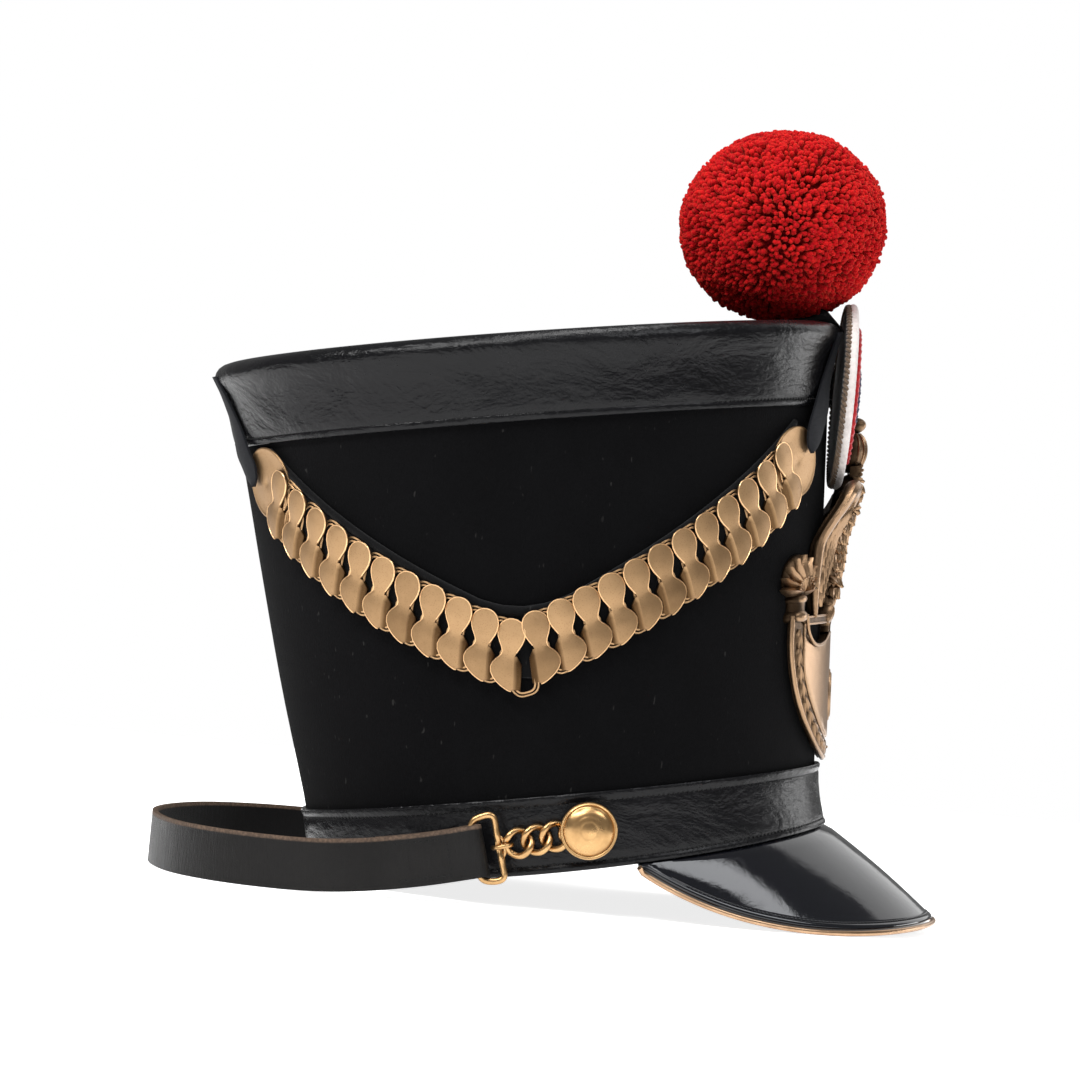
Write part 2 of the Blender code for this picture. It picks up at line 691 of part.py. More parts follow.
def make_ribbon(name, stops, hand):
    """A ribbon over the wall through stops of (angle in degrees, level and proud in millimetres)."""
    steps = 3
    centres = []
    for first, second in zip(stops, stops[1:]):
        for step in range(steps):
            centres.append([interpolate(a, b, step / steps) for a, b in zip(first, second)])
    centres.append(list(stops[-1]))
    rows = []
    for angle, level, proud in centres:
        place = (math.radians(angle), level * MM)
        low = proud * MM
        high = low + RIBBON_THICK
        half = RIBBON_WIDTH / 2
        rows.append([beside(place, -half, 0, low, hand), beside(place, half, 0, low, hand),
                     beside(place, half, 0, high, hand), beside(place, -half, 0, high, hand)])
    loft_object(name, rows, RIBBON_BLACK, hat_frame)


FRONT_RIBBON = ((11, 201.5, 5.5), (14, 190, 3.6), (17.5, 180, 2.9), (21, 169.5, 4.3), (24.5, 155, 4.3))
REAR_RIBBON = ((171, 201.5, 5.5), (168, 190, 3.6), (165, 180, 2.9), (162.3, 169.5, 4.3), (158.2, 160, 4.3))


def make_side(side, hand):
    make_chevron("chevron_" + side, hand)
    make_scales(f"scales_{side}_rear", REAR_TOP, REAR_LOW, REAR_SCALES, REAR_LEANS, hand, ring=True)
    make_scales(f"scales_{side}_front", FRONT_TOP, FRONT_LOW, FRONT_SCALES, FRONT_LEANS, hand, ring=False)
    make_end_plate(f"scale_plate_{side}_rear", REAR_PLATE, hand)
    make_end_plate(f"scale_plate_{side}_front", FRONT_PLATE, hand)
    make_ribbon(f"ribbon_{side}_front", FRONT_RIBBON, hand)
    make_ribbon(f"ribbon_{side}_rear", REAR_RIBBON, hand)


# ------------------------------------------------------------------ button, curb chain, buckle, strap

BUTTON_PROFILE = ((0, 10.2), (4, 9.8), (4.4, 9.3), (9.4, 7.2), (9.9, 7.7), (10.9, 7.5), (11.3, 6.3),
                  (1.6, 6.3), (1.6, 0), (0, 0))


def make_button(side, hand):
    angle, level = BUTTON_PLACE
    foot = wall_point(hand * angle, level, 2.0 * MM + GAP)
    outward = wall_normal(hand * angle, level)
    frame = Matrix.Translation(foot) @ outward.to_track_quat("Z", "Y").to_matrix().to_4x4()
    profile = [(radius * MM, height * MM) for radius, height in BUTTON_PROFILE]
    turned("button_" + side, profile, 16, GOLD_BRASS, hat_frame, frame)


def chain_frame(hand):
    """The chain's start at the button's shank, in world axes, with its three directions."""
    angle, level = BUTTON_PLACE
    start = HAT_TO_WORLD @ wall_point(hand * angle, level, 2.0 * MM + CHAIN_HEIGHT)
    along = Vector((-hand * math.sin(CHAIN_YAW), math.cos(CHAIN_YAW), 0)) * math.cos(CHAIN_SLOPE)
    along.z = -math.sin(CHAIN_SLOPE)
    outward = Vector((-hand * math.cos(CHAIN_YAW), -math.sin(CHAIN_YAW), 0))
    upward = along.cross(outward) * hand
    return start, along, upward, outward


def chain_distances():
    """Distances of the links' centres, the connector and the buckle's front bar from the button."""
    centres = [LINK_HALF_LENGTHS[0] - LINK_WIRE - SHANK_RADIUS - GAP]
    for before, after in zip(LINK_HALF_LENGTHS, LINK_HALF_LENGTHS[1:]):
        centres.append(centres[-1] + before + after - 2 * LINK_WIRE - LINK_PLAY)
    connector = (centres[-1] + LINK_HALF_LENGTHS[-1] - LINK_WIRE - CONNECTOR_WIRE - GAP) + CONNECTOR_RADIUS
    bar = connector + CONNECTOR_RADIUS - CONNECTOR_WIRE - BUCKLE_WIRE - GAP
    return centres, connector, bar


def make_chain(side, hand):
    start, along, upward, outward = chain_frame(hand)
    centres, connector, bar = chain_distances()
    for number, (distance, half_length) in enumerate(zip(centres, LINK_HALF_LENGTHS), 1):
        points = []
        for step in range(LINK_POINTS):
            turn = math.tau * step / LINK_POINTS
            twist = LINK_TWIST * math.cos(turn)
            sideways = LINK_HALF_WIDTH * math.sin(turn)
            points.append(start + along * (distance + half_length * math.cos(turn))
                          + upward * sideways * math.cos(twist) + outward * sideways * math.sin(twist))
        wire(f"curb_link_{side}_{number}", points, LINK_WIRE, GOLD_BRASS, None, cyclic=True)

    points = []
    for step in range(LINK_POINTS):
        turn = math.tau * step / LINK_POINTS
        points.append(start + along * (connector + CONNECTOR_RADIUS * math.cos(turn))
                      + outward * CONNECTOR_RADIUS * math.sin(turn))
    wire("connector_" + side, points, CONNECTOR_WIRE, GOLD_BRASS, None, cyclic=True)

    corner = BUCKLE_CORNER
    points = []
    for across, up, first in ((1, 1, 0), (-1, 1, 90), (-1, -1, 180), (1, -1, 270)):
        for turn in (first, first + 45, first + 90):
            shift_along = across * (BUCKLE_LENGTH / 2 - corner) + corner * math.cos(math.radians(turn))
            shift_up = up * (BUCKLE_HEIGHT / 2 - corner) + corner * math.sin(math.radians(turn))
            points.append(start + along * (bar + BUCKLE_LENGTH / 2 + shift_along) + upward * shift_up)
    wire("buckle_" + side, points, BUCKLE_WIRE, GOLD_BRASS, None, cyclic=True)


def smooth_through(points, steps):
    """A smooth curve through the points, with equal steps between each two."""
    padded = [2 * points[0] - points[1]] + points + [2 * points[-1] - points[-2]]
    curve = []
    for before, start, end, after in zip(padded, padded[1:], padded[2:], padded[3:]):
        for step in range(steps):
            curve.append(curve_between(start, end, (end - before) / 2, (after - start) / 2, step / steps))
    return curve + [points[-1]]


def strap_middle_line(bar):
    """Plan points from the right buckle's rear bar to the loop's rear, with headings and distances."""
    right = [Vector((-side * MM, BASE_CENTRE_Y + behind * MM)) for side, behind in STRAP_PLAN]
    beyond = Vector((-right[-2].x, right[-2].y))
    points = [point for point in smooth_through([bar.xy] + right + [beyond], STRAP_STEPS) if point.x < GAP]
    headings = [(points[1] - points[0]).normalized()]
    headings += [(after - before).normalized() for before, after in zip(points, points[2:])]
    headings.append(Vector((1, 0)))
    distances = [0.0]
    for before, after in zip(points, points[1:]):
        distances.append(distances[-1] + (after - before).length)
    return list(zip(points, headings, distances))


def make_strap():
    """One strap: folded round the right buckle, laid on edge behind the hat, folded round the left buckle."""
    start, along, _, _ = chain_frame(1)
    bar = start + along * (chain_distances()[2] + BUCKLE_LENGTH)
    drop = bar.z - STRAP_WIDTH / 2
    sloping_run = 2 * drop / math.tan(CHAIN_SLOPE)
    half_pitch = (STRAP_THICK + GAP) / 2
    turn_radius = BUCKLE_WIRE + STRAP_TURN_PLAY + STRAP_THICK / 2

    def offset(distance):
        """Half the distance between the two layers: wide round the bar, then lying together."""
        return interpolate(half_pitch, turn_radius, math.exp(-(distance / (5 * MM)) ** 2))

    def section(point, side, distance):
        """The strap's four corners, standing on edge; it slopes down from the bar to the floor."""
        left = min(1.0, max(0.0, 1 - distance / sloping_run))
        slope = math.atan(math.tan(CHAIN_SLOPE) * left)
        height = STRAP_WIDTH / 2 + drop * left ** 2 - min(0.0, distance) * math.tan(CHAIN_SLOPE)
        centre = Vector((point.x, point.y, height))
        across = Vector((side.x, side.y, 0)) * STRAP_THICK / 2
        up = Vector((0, math.sin(slope), math.cos(slope))) * STRAP_WIDTH / 2
        return [centre + across - up, centre + across + up, centre - across + up, centre - across - up]

    line = strap_middle_line(bar)
    rows = []
    for point, heading, distance in reversed(line[1:]):
        if distance < STRAP_FOLD:
            inward = Vector((heading.y, -heading.x))
            rows.append(section(point + inward * offset(distance), inward, distance))
    first_heading = line[0][1]
    first_inward = Vector((first_heading.y, -first_heading.x))
    for turn in range(0, 181, 30):
        angle = math.radians(turn)
        back = turn_radius * math.sin(angle)
        outward = first_inward * math.cos(angle) - first_heading * math.sin(angle)
        rows.append(section(bar.xy + outward * turn_radius, outward, -back))
    for point, heading, distance in line[1:]:
        outward = Vector((-heading.y, heading.x))
        rows.append(section(point + outward * offset(distance), outward, distance))

    mirror = Matrix.Scale(-1, 3, Vector((1, 0, 0)))
    left_rows = [[mirror @ corner for corner in row] for row in reversed(rows[:-1])]
    loft_object("chin_strap", rows + left_rows, STRAP_LEATHER, None)


# ------------------------------------------------------------------ assembly

make_crown()
make_crown_top()
make_bands()
make_peak()
make_pompom()
make_pompom_holder()
make_cockade()
make_badge()
for side_name, side_hand in (("right", 1), ("left", -1)):
    make_side(side_name, side_hand)
    make_button(side_name, side_hand)
    make_chain(side_name, side_hand)
make_strap()
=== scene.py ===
"""Looks of a military shako: felt crown, leather bands, patent peak, wool pompom and cockade, cast badge,
figure-eight brass scales, and a chin strap on curb chains.

Units are metres; tables are in millimetres. Shapes are modelled flat or round a plain cylinder, fitted to the
crown in the hat's own frame (front -Y, wearer's right -X, +Z up the crown), and then stood in the world.
"""

import math
import random
from collections import namedtuple

import bmesh
import bpy
from mathutils import Matrix, Vector, noise


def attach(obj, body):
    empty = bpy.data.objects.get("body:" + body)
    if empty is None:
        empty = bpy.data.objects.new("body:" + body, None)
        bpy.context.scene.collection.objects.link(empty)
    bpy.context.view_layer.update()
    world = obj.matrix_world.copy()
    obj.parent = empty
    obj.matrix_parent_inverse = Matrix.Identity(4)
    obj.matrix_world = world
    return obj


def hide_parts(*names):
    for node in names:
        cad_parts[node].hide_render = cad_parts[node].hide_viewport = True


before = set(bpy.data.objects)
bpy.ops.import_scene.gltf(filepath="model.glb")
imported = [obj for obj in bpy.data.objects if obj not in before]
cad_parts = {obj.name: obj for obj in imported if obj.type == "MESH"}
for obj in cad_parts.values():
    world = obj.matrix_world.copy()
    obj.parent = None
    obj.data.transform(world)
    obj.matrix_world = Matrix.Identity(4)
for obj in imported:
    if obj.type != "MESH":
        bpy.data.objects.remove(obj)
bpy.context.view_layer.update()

MM = 0.001


# ------------------------------------------------------------------ driving dimensions, as in the solids

def place_at(degrees, level):
    """A place on the wall: its angle from the front, and its level in millimetres."""
    return math.radians(degrees), level * MM


Section = namedtuple("Section", "level back front side")
SECTIONS = (
    Section(0.0, 103.7, 103.6, 86.2),
    Section(15.0, 104.5, 102.6, 86.9),
    Section(30.0, 105.4, 104.2, 88.4),
    Section(75.0, 110.3, 110.2, 93.4),
    Section(120.0, 113.8, 116.2, 99.6),
    Section(165.0, 116.9, 122.3, 106.2),
    Section(201.0, 120.3, 127.0, 111.4),
)
TOP_LEVEL = 206.5 * MM
TOP_SINK = 0.028
SIDE_DIP = 4.3 * MM
BAND_TOP = 26.0 * MM
FELT_WALL = 2.6 * MM
GAP = 0.3 * MM
SEAT = 0.5 * MM
LEATHER = 1.8 * MM

PEAK_HALF_ANGLE = math.radians(74)
PEAK_FADE_ANGLE = math.radians(78)
PEAK_REACH = 39.6 * MM
PEAK_DROP = 42.0 * MM
PEAK_REACH_POWER = 1.45
PEAK_DROP_POWER = 3.1
PEAK_BULGE = 1.0 * MM
PEAK_THICK = 2.2 * MM
PEAK_COLUMNS = 19
BINDING_RADIUS = 1.15 * MM

POMPOM_CENTRE = Vector((0, -112.4, 244.8)) * MM
POMPOM_RADII = Vector((43.0, 43.0, 39.8)) * MM
COCKADE_RADIUS = 38.0 * MM
COCKADE_LEAN = math.radians(11.0)
COCKADE_BACK = Vector((0, -128.1, 173.0)) * MM

REAR_TOP = place_at(148.4, 148.0)
REAR_LOW = place_at(98.0, 82.2)
FRONT_LOW = place_at(91.4, 84.3)
FRONT_TOP = place_at(34.7, 144.3)
REAR_PLATE = place_at(151.8, 156.4)
FRONT_PLATE = place_at(30.9, 149.5)
APEX = place_at(94.3, 78.5)
LEG_SAG = 4.8 * MM
APEX_RING_PLACE = place_at(96.3, 69.5)
REAR_SCALES = 11
FRONT_SCALES = 12
REAR_LEANS = (math.radians(30), math.radians(15))
FRONT_LEANS = (math.radians(-29), math.radians(-8))
PLATE_HALF_WIDTH = 15.4 * MM
PLATE_HALF_HEIGHT = 14.3 * MM
CHEVRON_TOP = 17.0 * MM
CHEVRON_OUT = SEAT + 1.3 * MM
SCALE_BASE = CHEVRON_OUT + SEAT
SCALE_LIFT = 1.6 * MM
SCALE_THICK = 1.1 * MM
RIBBON_THICK = 0.9 * MM

BUTTON_PLACE = place_at(85.5, 13.4)
SHANK_RADIUS = 1.6 * MM
LINK_WIRE = 1.25 * MM
LINK_HALF_LENGTHS = (7.0 * MM, 5.3 * MM, 5.2 * MM, 5.0 * MM)
LINK_HALF_WIDTH = 5.0 * MM
CONNECTOR_RADIUS = 3.8 * MM
CONNECTOR_WIRE = 0.9 * MM
LINK_TWIST = math.radians(35)
LINK_PLAY = 0.6 * MM
CHAIN_HEIGHT = 3.1 * MM
CHAIN_SLOPE = math.radians(15.8)
CHAIN_YAW = math.radians(2.1)
BUCKLE_WIRE = 1.3 * MM
BUCKLE_LENGTH = 9.4 * MM

STRAP_WIDTH = 20.4 * MM
STRAP_THICK = 2.2 * MM
STRAP_FOLD = 38.0 * MM
STRAP_TURN_PLAY = 0.4 * MM
STRAP_PLAN = ((98, 68), (105, 98), (100.7, 128), (78, 151), (42, 163.5), (0, 168))
STRAP_STEPS = 10

BASE_CENTRE_Y = -9.0 * MM
RING_STEPS = 192


# ------------------------------------------------------------------ the crown's surface

def interpolate(low, high, share):
    return low + (high - low) * share


def smoothstep(low, high, value):
    share = min(1.0, max(0.0, (value - low) / (high - low)))
    return share * share * (3 - 2 * share)


def curve_between(start, end, leave, arrive, share):
    """A cubic from start to end, with its rates there; the values may be numbers or vectors."""
    squared = share * share
    cubed = squared * share
    return ((2 * cubed - 3 * squared + 1) * start + (3 * squared - 2 * cubed) * end
            + (cubed - 2 * squared + share) * leave + (cubed - squared) * arrive)


def radii_at(level):
    """Back, front and side half-lengths at a level, on a smooth curve through the sections."""
    height = level / MM
    last = len(SECTIONS) - 2
    span = next((i for i in range(last) if height < SECTIONS[i + 1].level), last)
    lower, upper = SECTIONS[span], SECTIONS[span + 1]
    before, after = SECTIONS[max(span - 1, 0)], SECTIONS[min(span + 2, last + 1)]
    width = upper.level - lower.level
    share = (height - lower.level) / width
    radii = []
    for column in ("back", "front", "side"):
        start, end = getattr(lower, column), getattr(upper, column)
        leave = (end - getattr(before, column)) * width / (upper.level - before.level)
        arrive = (getattr(after, column) - start) * width / (after.level - lower.level)
        radii.append(curve_between(start, end, leave, arrive, share) * MM)
    return radii


def wall_point(angle, level, proud):
    """A point outside the felt; the angle starts at the front and grows to the wearer's right."""
    back, front, side = radii_at(level)
    reach = front if math.cos(angle) > 0 else back
    x = -side * math.sin(angle)
    y = -reach * math.cos(angle)
    normal = Vector((x / side ** 2, y / reach ** 2)).normalized()
    x += proud * normal.x
    y += proud * normal.y
    dip = SIDE_DIP * math.sin(angle) ** 2 * max(0.0, 1 - level / BAND_TOP)
    z = level + y * TOP_SINK * math.sqrt(max(level, 0.0) / TOP_LEVEL) - dip
    return Vector((x, y, z))


def wall_normal(angle, level):
    return (wall_point(angle, level, 1 * MM) - wall_point(angle, level, 0)).normalized()


def angle_beside(angle, level, distance):
    """The angle that lies a distance further round the wall."""
    back, front, side = radii_at(level)
    reach = front if math.cos(angle) > 0 else back
    return angle + distance / math.hypot(side * math.cos(angle), reach * math.sin(angle))


def beside(place, across, up, proud, hand):
    """A point on the wall near a place: across is towards the back, up is along the crown."""
    angle, level = place
    return wall_point(hand * angle_beside(angle, level, across), level + up, proud)


def leg_place(top, low, share):
    """A place on a leg, which sags between its two ends."""
    sag = 4 * LEG_SAG * share * (1 - share)
    return (interpolate(top[0], low[0], share), interpolate(top[1], low[1], share) - sag)


# ------------------------------------------------------------------ the hat's frame at rest

def peak_edge(angle):
    """Root and edge of the peak's outer face at an angle from the front, and its outward normal."""
    root = wall_point(angle, 0, GAP + LEATHER)
    root.z -= GAP
    plan = wall_normal(angle, 0)
    fade = abs(angle) / PEAK_FADE_ANGLE
    reach = PEAK_REACH * math.cos(fade * math.pi / 2) ** PEAK_REACH_POWER
    edge = root + plan * reach
    edge.z = -PEAK_DROP * (1 - fade ** PEAK_DROP_POWER)
    drop = root.z - edge.z
    return root, edge, (plan * drop + Vector((0, 0, reach))).normalized()


def binding_centre(angle):
    """The binding's centre, square off the peak's edge."""
    root, edge, normal = peak_edge(angle)
    tangent = (peak_edge(angle + 0.01)[1] - peak_edge(angle - 0.01)[1]).normalized()
    along = (edge - root).normalized()
    away = (along - tangent * along.dot(tangent)).normalized()
    return edge - normal * (PEAK_THICK / 2) + away * (BINDING_RADIUS + SEAT)


def peak_angles(columns, half_angle):
    shares = [column / (columns - 1) for column in range(columns)]
    return [interpolate(-half_angle, half_angle, share) for share in shares]


REAR_EDGE = wall_point(math.pi, 0, GAP + LEATHER)


def resting_tilt():
    """The tilt at which the rear of the base and the lowest parts of the peak's edge share a floor."""
    steepest = 0.0
    for angle in peak_angles(PEAK_COLUMNS, PEAK_HALF_ANGLE):
        centre = binding_centre(angle)
        run = REAR_EDGE.y - centre.y
        rise = REAR_EDGE.z - centre.z
        steepest = max(steepest, math.atan2(rise, run) + math.asin(BINDING_RADIUS / math.hypot(run, rise)))
    return steepest


tilted = Matrix.Rotation(-resting_tilt(), 4, "X")
HAT_TO_WORLD = Matrix.Translation((0, BASE_CENTRE_Y, -(tilted @ REAR_EDGE).z)) @ tilted


# ------------------------------------------------------------------ finishes

class Shade:
    """A value that varies over a surface; arithmetic on it adds Math nodes."""

    def __init__(self, finish, socket):
        self.finish = finish
        self.socket = socket

    def combine(self, operation, *terms):
        return self.finish.node("ShaderNodeMath", {"operation": operation}, dict(enumerate(terms)))

    def __add__(self, other):
        return self.combine("ADD", self, other)

    def __sub__(self, other):
        return self.combine("SUBTRACT", self, other)

    def __rsub__(self, other):
        return self.combine("SUBTRACT", other, self)

    def __mul__(self, other):
        return self.combine("MULTIPLY", self, other)

    __radd__ = __add__
    __rmul__ = __mul__

    def above(self, low, high):
        """0 below low and 1 above high, smooth between."""
        settings = {"interpolation_type": "SMOOTHSTEP"}
        return self.finish.node("ShaderNodeMapRange", settings, {0: self, 1: low, 2: high, 3: 0.0, 4: 1.0})


class Finish:
    """A material in the making: its principled shader, and the nodes that feed it."""

    def __init__(self, name, **fixed):
        self.material = bpy.data.materials.new(name)
        self.material.use_nodes = True
        self.tree = self.material.node_tree
        self.shader = self.tree.nodes["Principled BSDF"]
        self.shine(**fixed)

    def node(self, kind, settings, inputs, output=0):
        """A node with its settings made first, then the values or links of its sockets."""
        made = self.tree.nodes.new(kind)
        for name, value in settings.items():
            setattr(made, name, value)
        for name, value in inputs.items():
            self.feed(made.inputs[name], value)
        return Shade(self, made.outputs[output])

    def feed(self, socket, value):
        if isinstance(value, Shade):
            self.tree.links.new(value.socket, socket)
        else:
            socket.default_value = value

    def shine(self, **sockets):
        """Feed the shader's sockets, and hand back the material."""
        for name, value in sockets.items():
            self.feed(self.shader.inputs[name.replace("_", " ")], value)
        return self.material

    def attribute(self, name):
        return self.node("ShaderNodeAttribute", {"attribute_name": name}, {}, "Fac")

    def texture(self, kind, scale, stretch, **sockets):
        """A texture over the object's own coordinates, stretched."""
        origin = self.node("ShaderNodeTexCoord", {}, {}, "Object")
        where = self.node("ShaderNodeMapping", {}, {"Vector": origin, "Scale": stretch})
        return self.node(kind, {}, {"Vector": where, "Scale": scale, **sockets})

    def noise(self, scale, detail, roughness=0.5, distortion=0.0, stretch=(1, 1, 1)):
        return self.texture("ShaderNodeTexNoise", scale, stretch, Detail=detail, Roughness=roughness,
                            Distortion=distortion)

    def cells(self, scale):
        return self.texture("ShaderNodeTexVoronoi", scale, (1, 1, 1))

    def mix(self, factor, low, high):
        """From one colour to another, where low may be a mixed colour already."""
        first = low if isinstance(low, Shade) else (*low, 1)
        return self.node("ShaderNodeMix", {"data_type": "RGBA"}, {0: factor, 6: first, 7: (*high, 1)}, 2)

    def bump(self, height, distance, strength):
        return self.node("ShaderNodeBump", {}, {"Height": height, "Distance": distance, "Strength": strength})


def felt_finish(name, sheen):
    felt = Finish(name, Roughness=1.0, Sheen_Weight=sheen, Sheen_Roughness=0.6, Specular_IOR_Level=0.05)
    nap = felt.noise(1400, 3, 0.7, stretch=(1, 1, 0.6))
    cloud = felt.noise(45, 3)
    lint = felt.noise(520, 1, stretch=(1, 1, 0.35)).above(0.74, 0.80)
    black = felt.mix(nap * 0.6 + cloud * 0.4, (0.0004, 0.0004, 0.0005), (0.0036, 0.0036, 0.0041))
    return felt.shine(Base_Color=felt.mix(lint * 0.5, black, (0.030, 0.029, 0.028)),
                      Normal=felt.bump(nap + cloud * 0.5, 0.35 * MM, 0.8))


def band_leather_finish():
    """Glossy black leather with fine cracks, broad dents and long creases."""
    leather = Finish("band_leather", Specular_IOR_Level=0.17)
    wide = leather.noise(24, 4, 0.6, 0.8, (1, 1, 1.8))
    creases = leather.noise(130, 4, 0.6, 2.0, (1, 1, 2.0))
    cracks = leather.noise(460, 3, 0.6, 1.4, (1, 1, 1.3))
    return leather.shine(Base_Color=leather.mix(wide, (0.0020, 0.0020, 0.0024), (0.0060, 0.0060, 0.0068)),
                         Roughness=0.13 + wide * 0.14 + cracks * 0.10,
                         Normal=leather.bump(wide * 3.0 + creases * 0.34 + cracks * 0.24, 0.6 * MM, 1.0))


def patent_finish():
    patent = Finish("patent_leather", Base_Color=(0.0030, 0.0034, 0.0052, 1), Specular_IOR_Level=0.55)
    dents = patent.noise(20, 2)
    ripple = patent.noise(150, 5, 0.7, 1.5)
    dust = patent.noise(900, 2).above(0.66, 0.74)
    return patent.shine(Roughness=0.05 + dents * 0.05 + dust * 0.12,
                        Normal=patent.bump(dents * 1.2 + ripple * 0.16, 1.0 * MM, 0.35))


def strap_finish():
    """Satin black leather with short upright creases, a raw brown upper edge and a dark suede back."""
    leather = Finish("strap_leather", Specular_IOR_Level=0.15)
    creases = leather.noise(130, 4, 0.7, 0.8, (4, 4, 0.7))
    worn = leather.noise(40, 3)
    grain = leather.cells(1700)
    edge = leather.attribute("cut_edge")
    suede = leather.attribute("suede")
    fibre = leather.noise(900, 3).above(0.35, 0.7)
    black = leather.mix(worn - suede, (0.0036, 0.0034, 0.0034), (0.0120, 0.0112, 0.0108))
    return leather.shine(Base_Color=leather.mix(edge * (0.5 + fibre * 0.5), black, (0.120, 0.080, 0.056)),
                         Roughness=0.30 + worn * 0.14 + grain * 0.1 + edge * 0.3 + suede * 0.45,
                         Normal=leather.bump(creases * 1.6 + grain * 0.2 + worn * 1.2, 0.4 * MM, 0.7))


def scale_brass_finish():
    """Satin brass, finely pitted, each plate of its own tone, with painted shade and a painted rim highlight
    in that tone.
    """
    brass = Finish("scale_brass", Metallic=1.0)
    pits = brass.cells(1300).above(0.0, 0.42)
    cloud = brass.noise(120, 4, 0.65)
    brush = brass.noise(1500, 2)
    tone = brass.attribute("tone")
    # tone mixes each plate's random tone with painted shade on its lower lobe and bent side and a painted
    # highlight on its rim.
    colour = brass.mix(cloud * 0.16 + tone * 0.11 + 0.13, (0.10, 0.055, 0.024), (0.95, 0.61, 0.32))
    return brass.shine(Base_Color=brass.mix((1 - pits) * 0.35, colour, (0.24, 0.14, 0.07)),
                       Roughness=0.40 + cloud * 0.14 + (1 - pits) * 0.2 - tone.above(2.6, 3.6) * 0.16,
                       Normal=brass.bump(pits * 0.6 + brush * 0.3 + cloud * 0.4, 0.10 * MM, 0.5))


def bright_brass_finish(name, light, dark):
    brass = Finish(name, Metallic=1.0)
    cloud = brass.noise(150, 4, 0.6)
    fine = brass.noise(1800, 2)
    return brass.shine(Base_Color=brass.mix(cloud.above(0.3, 0.75), light, dark),
                       Roughness=0.20 + cloud * 0.18,
                       Normal=brass.bump(fine * 0.4 + cloud, 0.08 * MM, 0.35))


def badge_brass_finish():
    """Antiqued cast brass: dark where the relief attribute is low."""
    brass = Finish("badge_brass", Metallic=1.0)
    relief = brass.attribute("relief")
    cloud = brass.noise(260, 4, 0.65)
    rubbed = (relief + cloud * 0.35 - 0.17).above(0.12, 0.75)
    return brass.shine(Base_Color=brass.mix(rubbed, (0.034, 0.021, 0.012), (0.30, 0.190, 0.110)),
                       Roughness=0.52 - rubbed * 0.20,
                       Normal=brass.bump(brass.cells(1700), 0.12 * MM, 0.5))


def red_wool_finish():
    """Cut yarn, with painted shade: dark at its root, where the strands shade each other, and bright at its
    cut end.
    """
    wool = Finish("red_wool", Roughness=1.0, Sheen_Weight=0.40, Sheen_Roughness=0.5,
                  Sheen_Tint=(1.0, 0.17, 0.08, 1), Specular_IOR_Level=0.05)
    tip = wool.attribute("tip")
    tone = wool.attribute("tone")
    fibre = wool.noise(1900, 2)
    # Painted shade: the colour darkens from the cut end to the root.
    shaded_towards_root = wool.mix(tip.above(0.4, 0.95), (0.10, 0.0008, 0.0030), (0.31, 0.0010, 0.0066))
    return wool.shine(Base_Color=wool.mix(tone * tip * 0.5, shaded_towards_root, (0.68, 0.014, 0.012)),
                      Normal=wool.bump(fibre, 0.5 * MM, 1.0))


def yarn_finish(name, low, high, sheen=0.3):
    """Knitted or twisted yarn of one colour."""
    yarn = Finish(name, Roughness=0.95, Sheen_Weight=sheen, Specular_IOR_Level=0.2)
    fibre = yarn.noise(1300, 3, 0.7)
    cloud = yarn.noise(260, 2)
    return yarn.shine(Base_Color=yarn.mix(fibre * 0.5 + cloud * 0.5, low, high),
                      Normal=yarn.bump(fibre, 0.3 * MM, 0.8))


def ribbon_finish():
    """Black tape with fine cross ribs."""
    tape = Finish("black_ribbon", Roughness=0.8, Sheen_Weight=0.04, Specular_IOR_Level=0.1)
    ribs = tape.noise(800, 1, stretch=(0.3, 0.3, 3.0))
    cloud = tape.noise(150, 2)
    low, high = (0.0028, 0.0031, 0.0042), (0.0105, 0.0112, 0.0140)
    return tape.shine(Base_Color=tape.mix(ribs * 0.5 + cloud * 0.5, low, high),
                      Normal=tape.bump(ribs, 0.2 * MM, 0.6))


FELT = felt_finish("black_felt", 0.012)
CHEVRON_FELT = felt_finish("chevron_felt", 0.075)
BAND_LEATHER = band_leather_finish()
PATENT = patent_finish()
STRAP_LEATHER = strap_finish()
SCALE_BRASS = scale_brass_finish()
BRIGHT_BRASS = bright_brass_finish("bright_brass", (0.53, 0.325, 0.145), (0.39, 0.230, 0.098))
BINDING_BRASS = bright_brass_finish("binding_brass", (0.46, 0.300, 0.185), (0.33, 0.205, 0.120))
BADGE_BRASS = badge_brass_finish()
RED_WOOL = red_wool_finish()
WHITE_YARN = yarn_finish("white_yarn", (0.42, 0.36, 0.34), (0.80, 0.76, 0.73))
RED_YARN = yarn_finish("red_yarn", (0.22, 0.006, 0.010), (0.50, 0.016, 0.020))
BLUE_YARN = yarn_finish("blue_yarn", (0.006, 0.009, 0.030), (0.022, 0.030, 0.085))
CORD_YARN = yarn_finish("brown_cord", (0.010, 0.006, 0.004), (0.23, 0.155, 0.10))
THREAD = yarn_finish("black_thread", (0.002, 0.002, 0.002), (0.012, 0.012, 0.012), 0.1)
RIBBON = ribbon_finish()


# ------------------------------------------------------------------ making pieces

def as_mesh(name, bm):
    mesh = bpy.data.meshes.new(name)
    bm.to_mesh(mesh)
    bm.free()
    return mesh


def linked(name, data):
    """A new object in the scene."""
    obj = bpy.data.objects.new(name, data)
    bpy.context.scene.collection.objects.link(obj)
    return obj


def new_piece(name, bm, material, nodes=(), sharp=40.0, world=False):
    """A finished piece: stood in the world, riding on the hat, in place of the CAD nodes it stands for."""
    if not world:
        bm.transform(HAT_TO_WORLD)
    mesh = as_mesh(name, bm)
    mesh.materials.append(material)
    mesh.shade_smooth()
    mesh.set_sharp_from_angle(angle=math.radians(sharp))
    obj = linked(name, mesh)
    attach(obj, "root")
    if nodes:
        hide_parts(*nodes)
    return obj


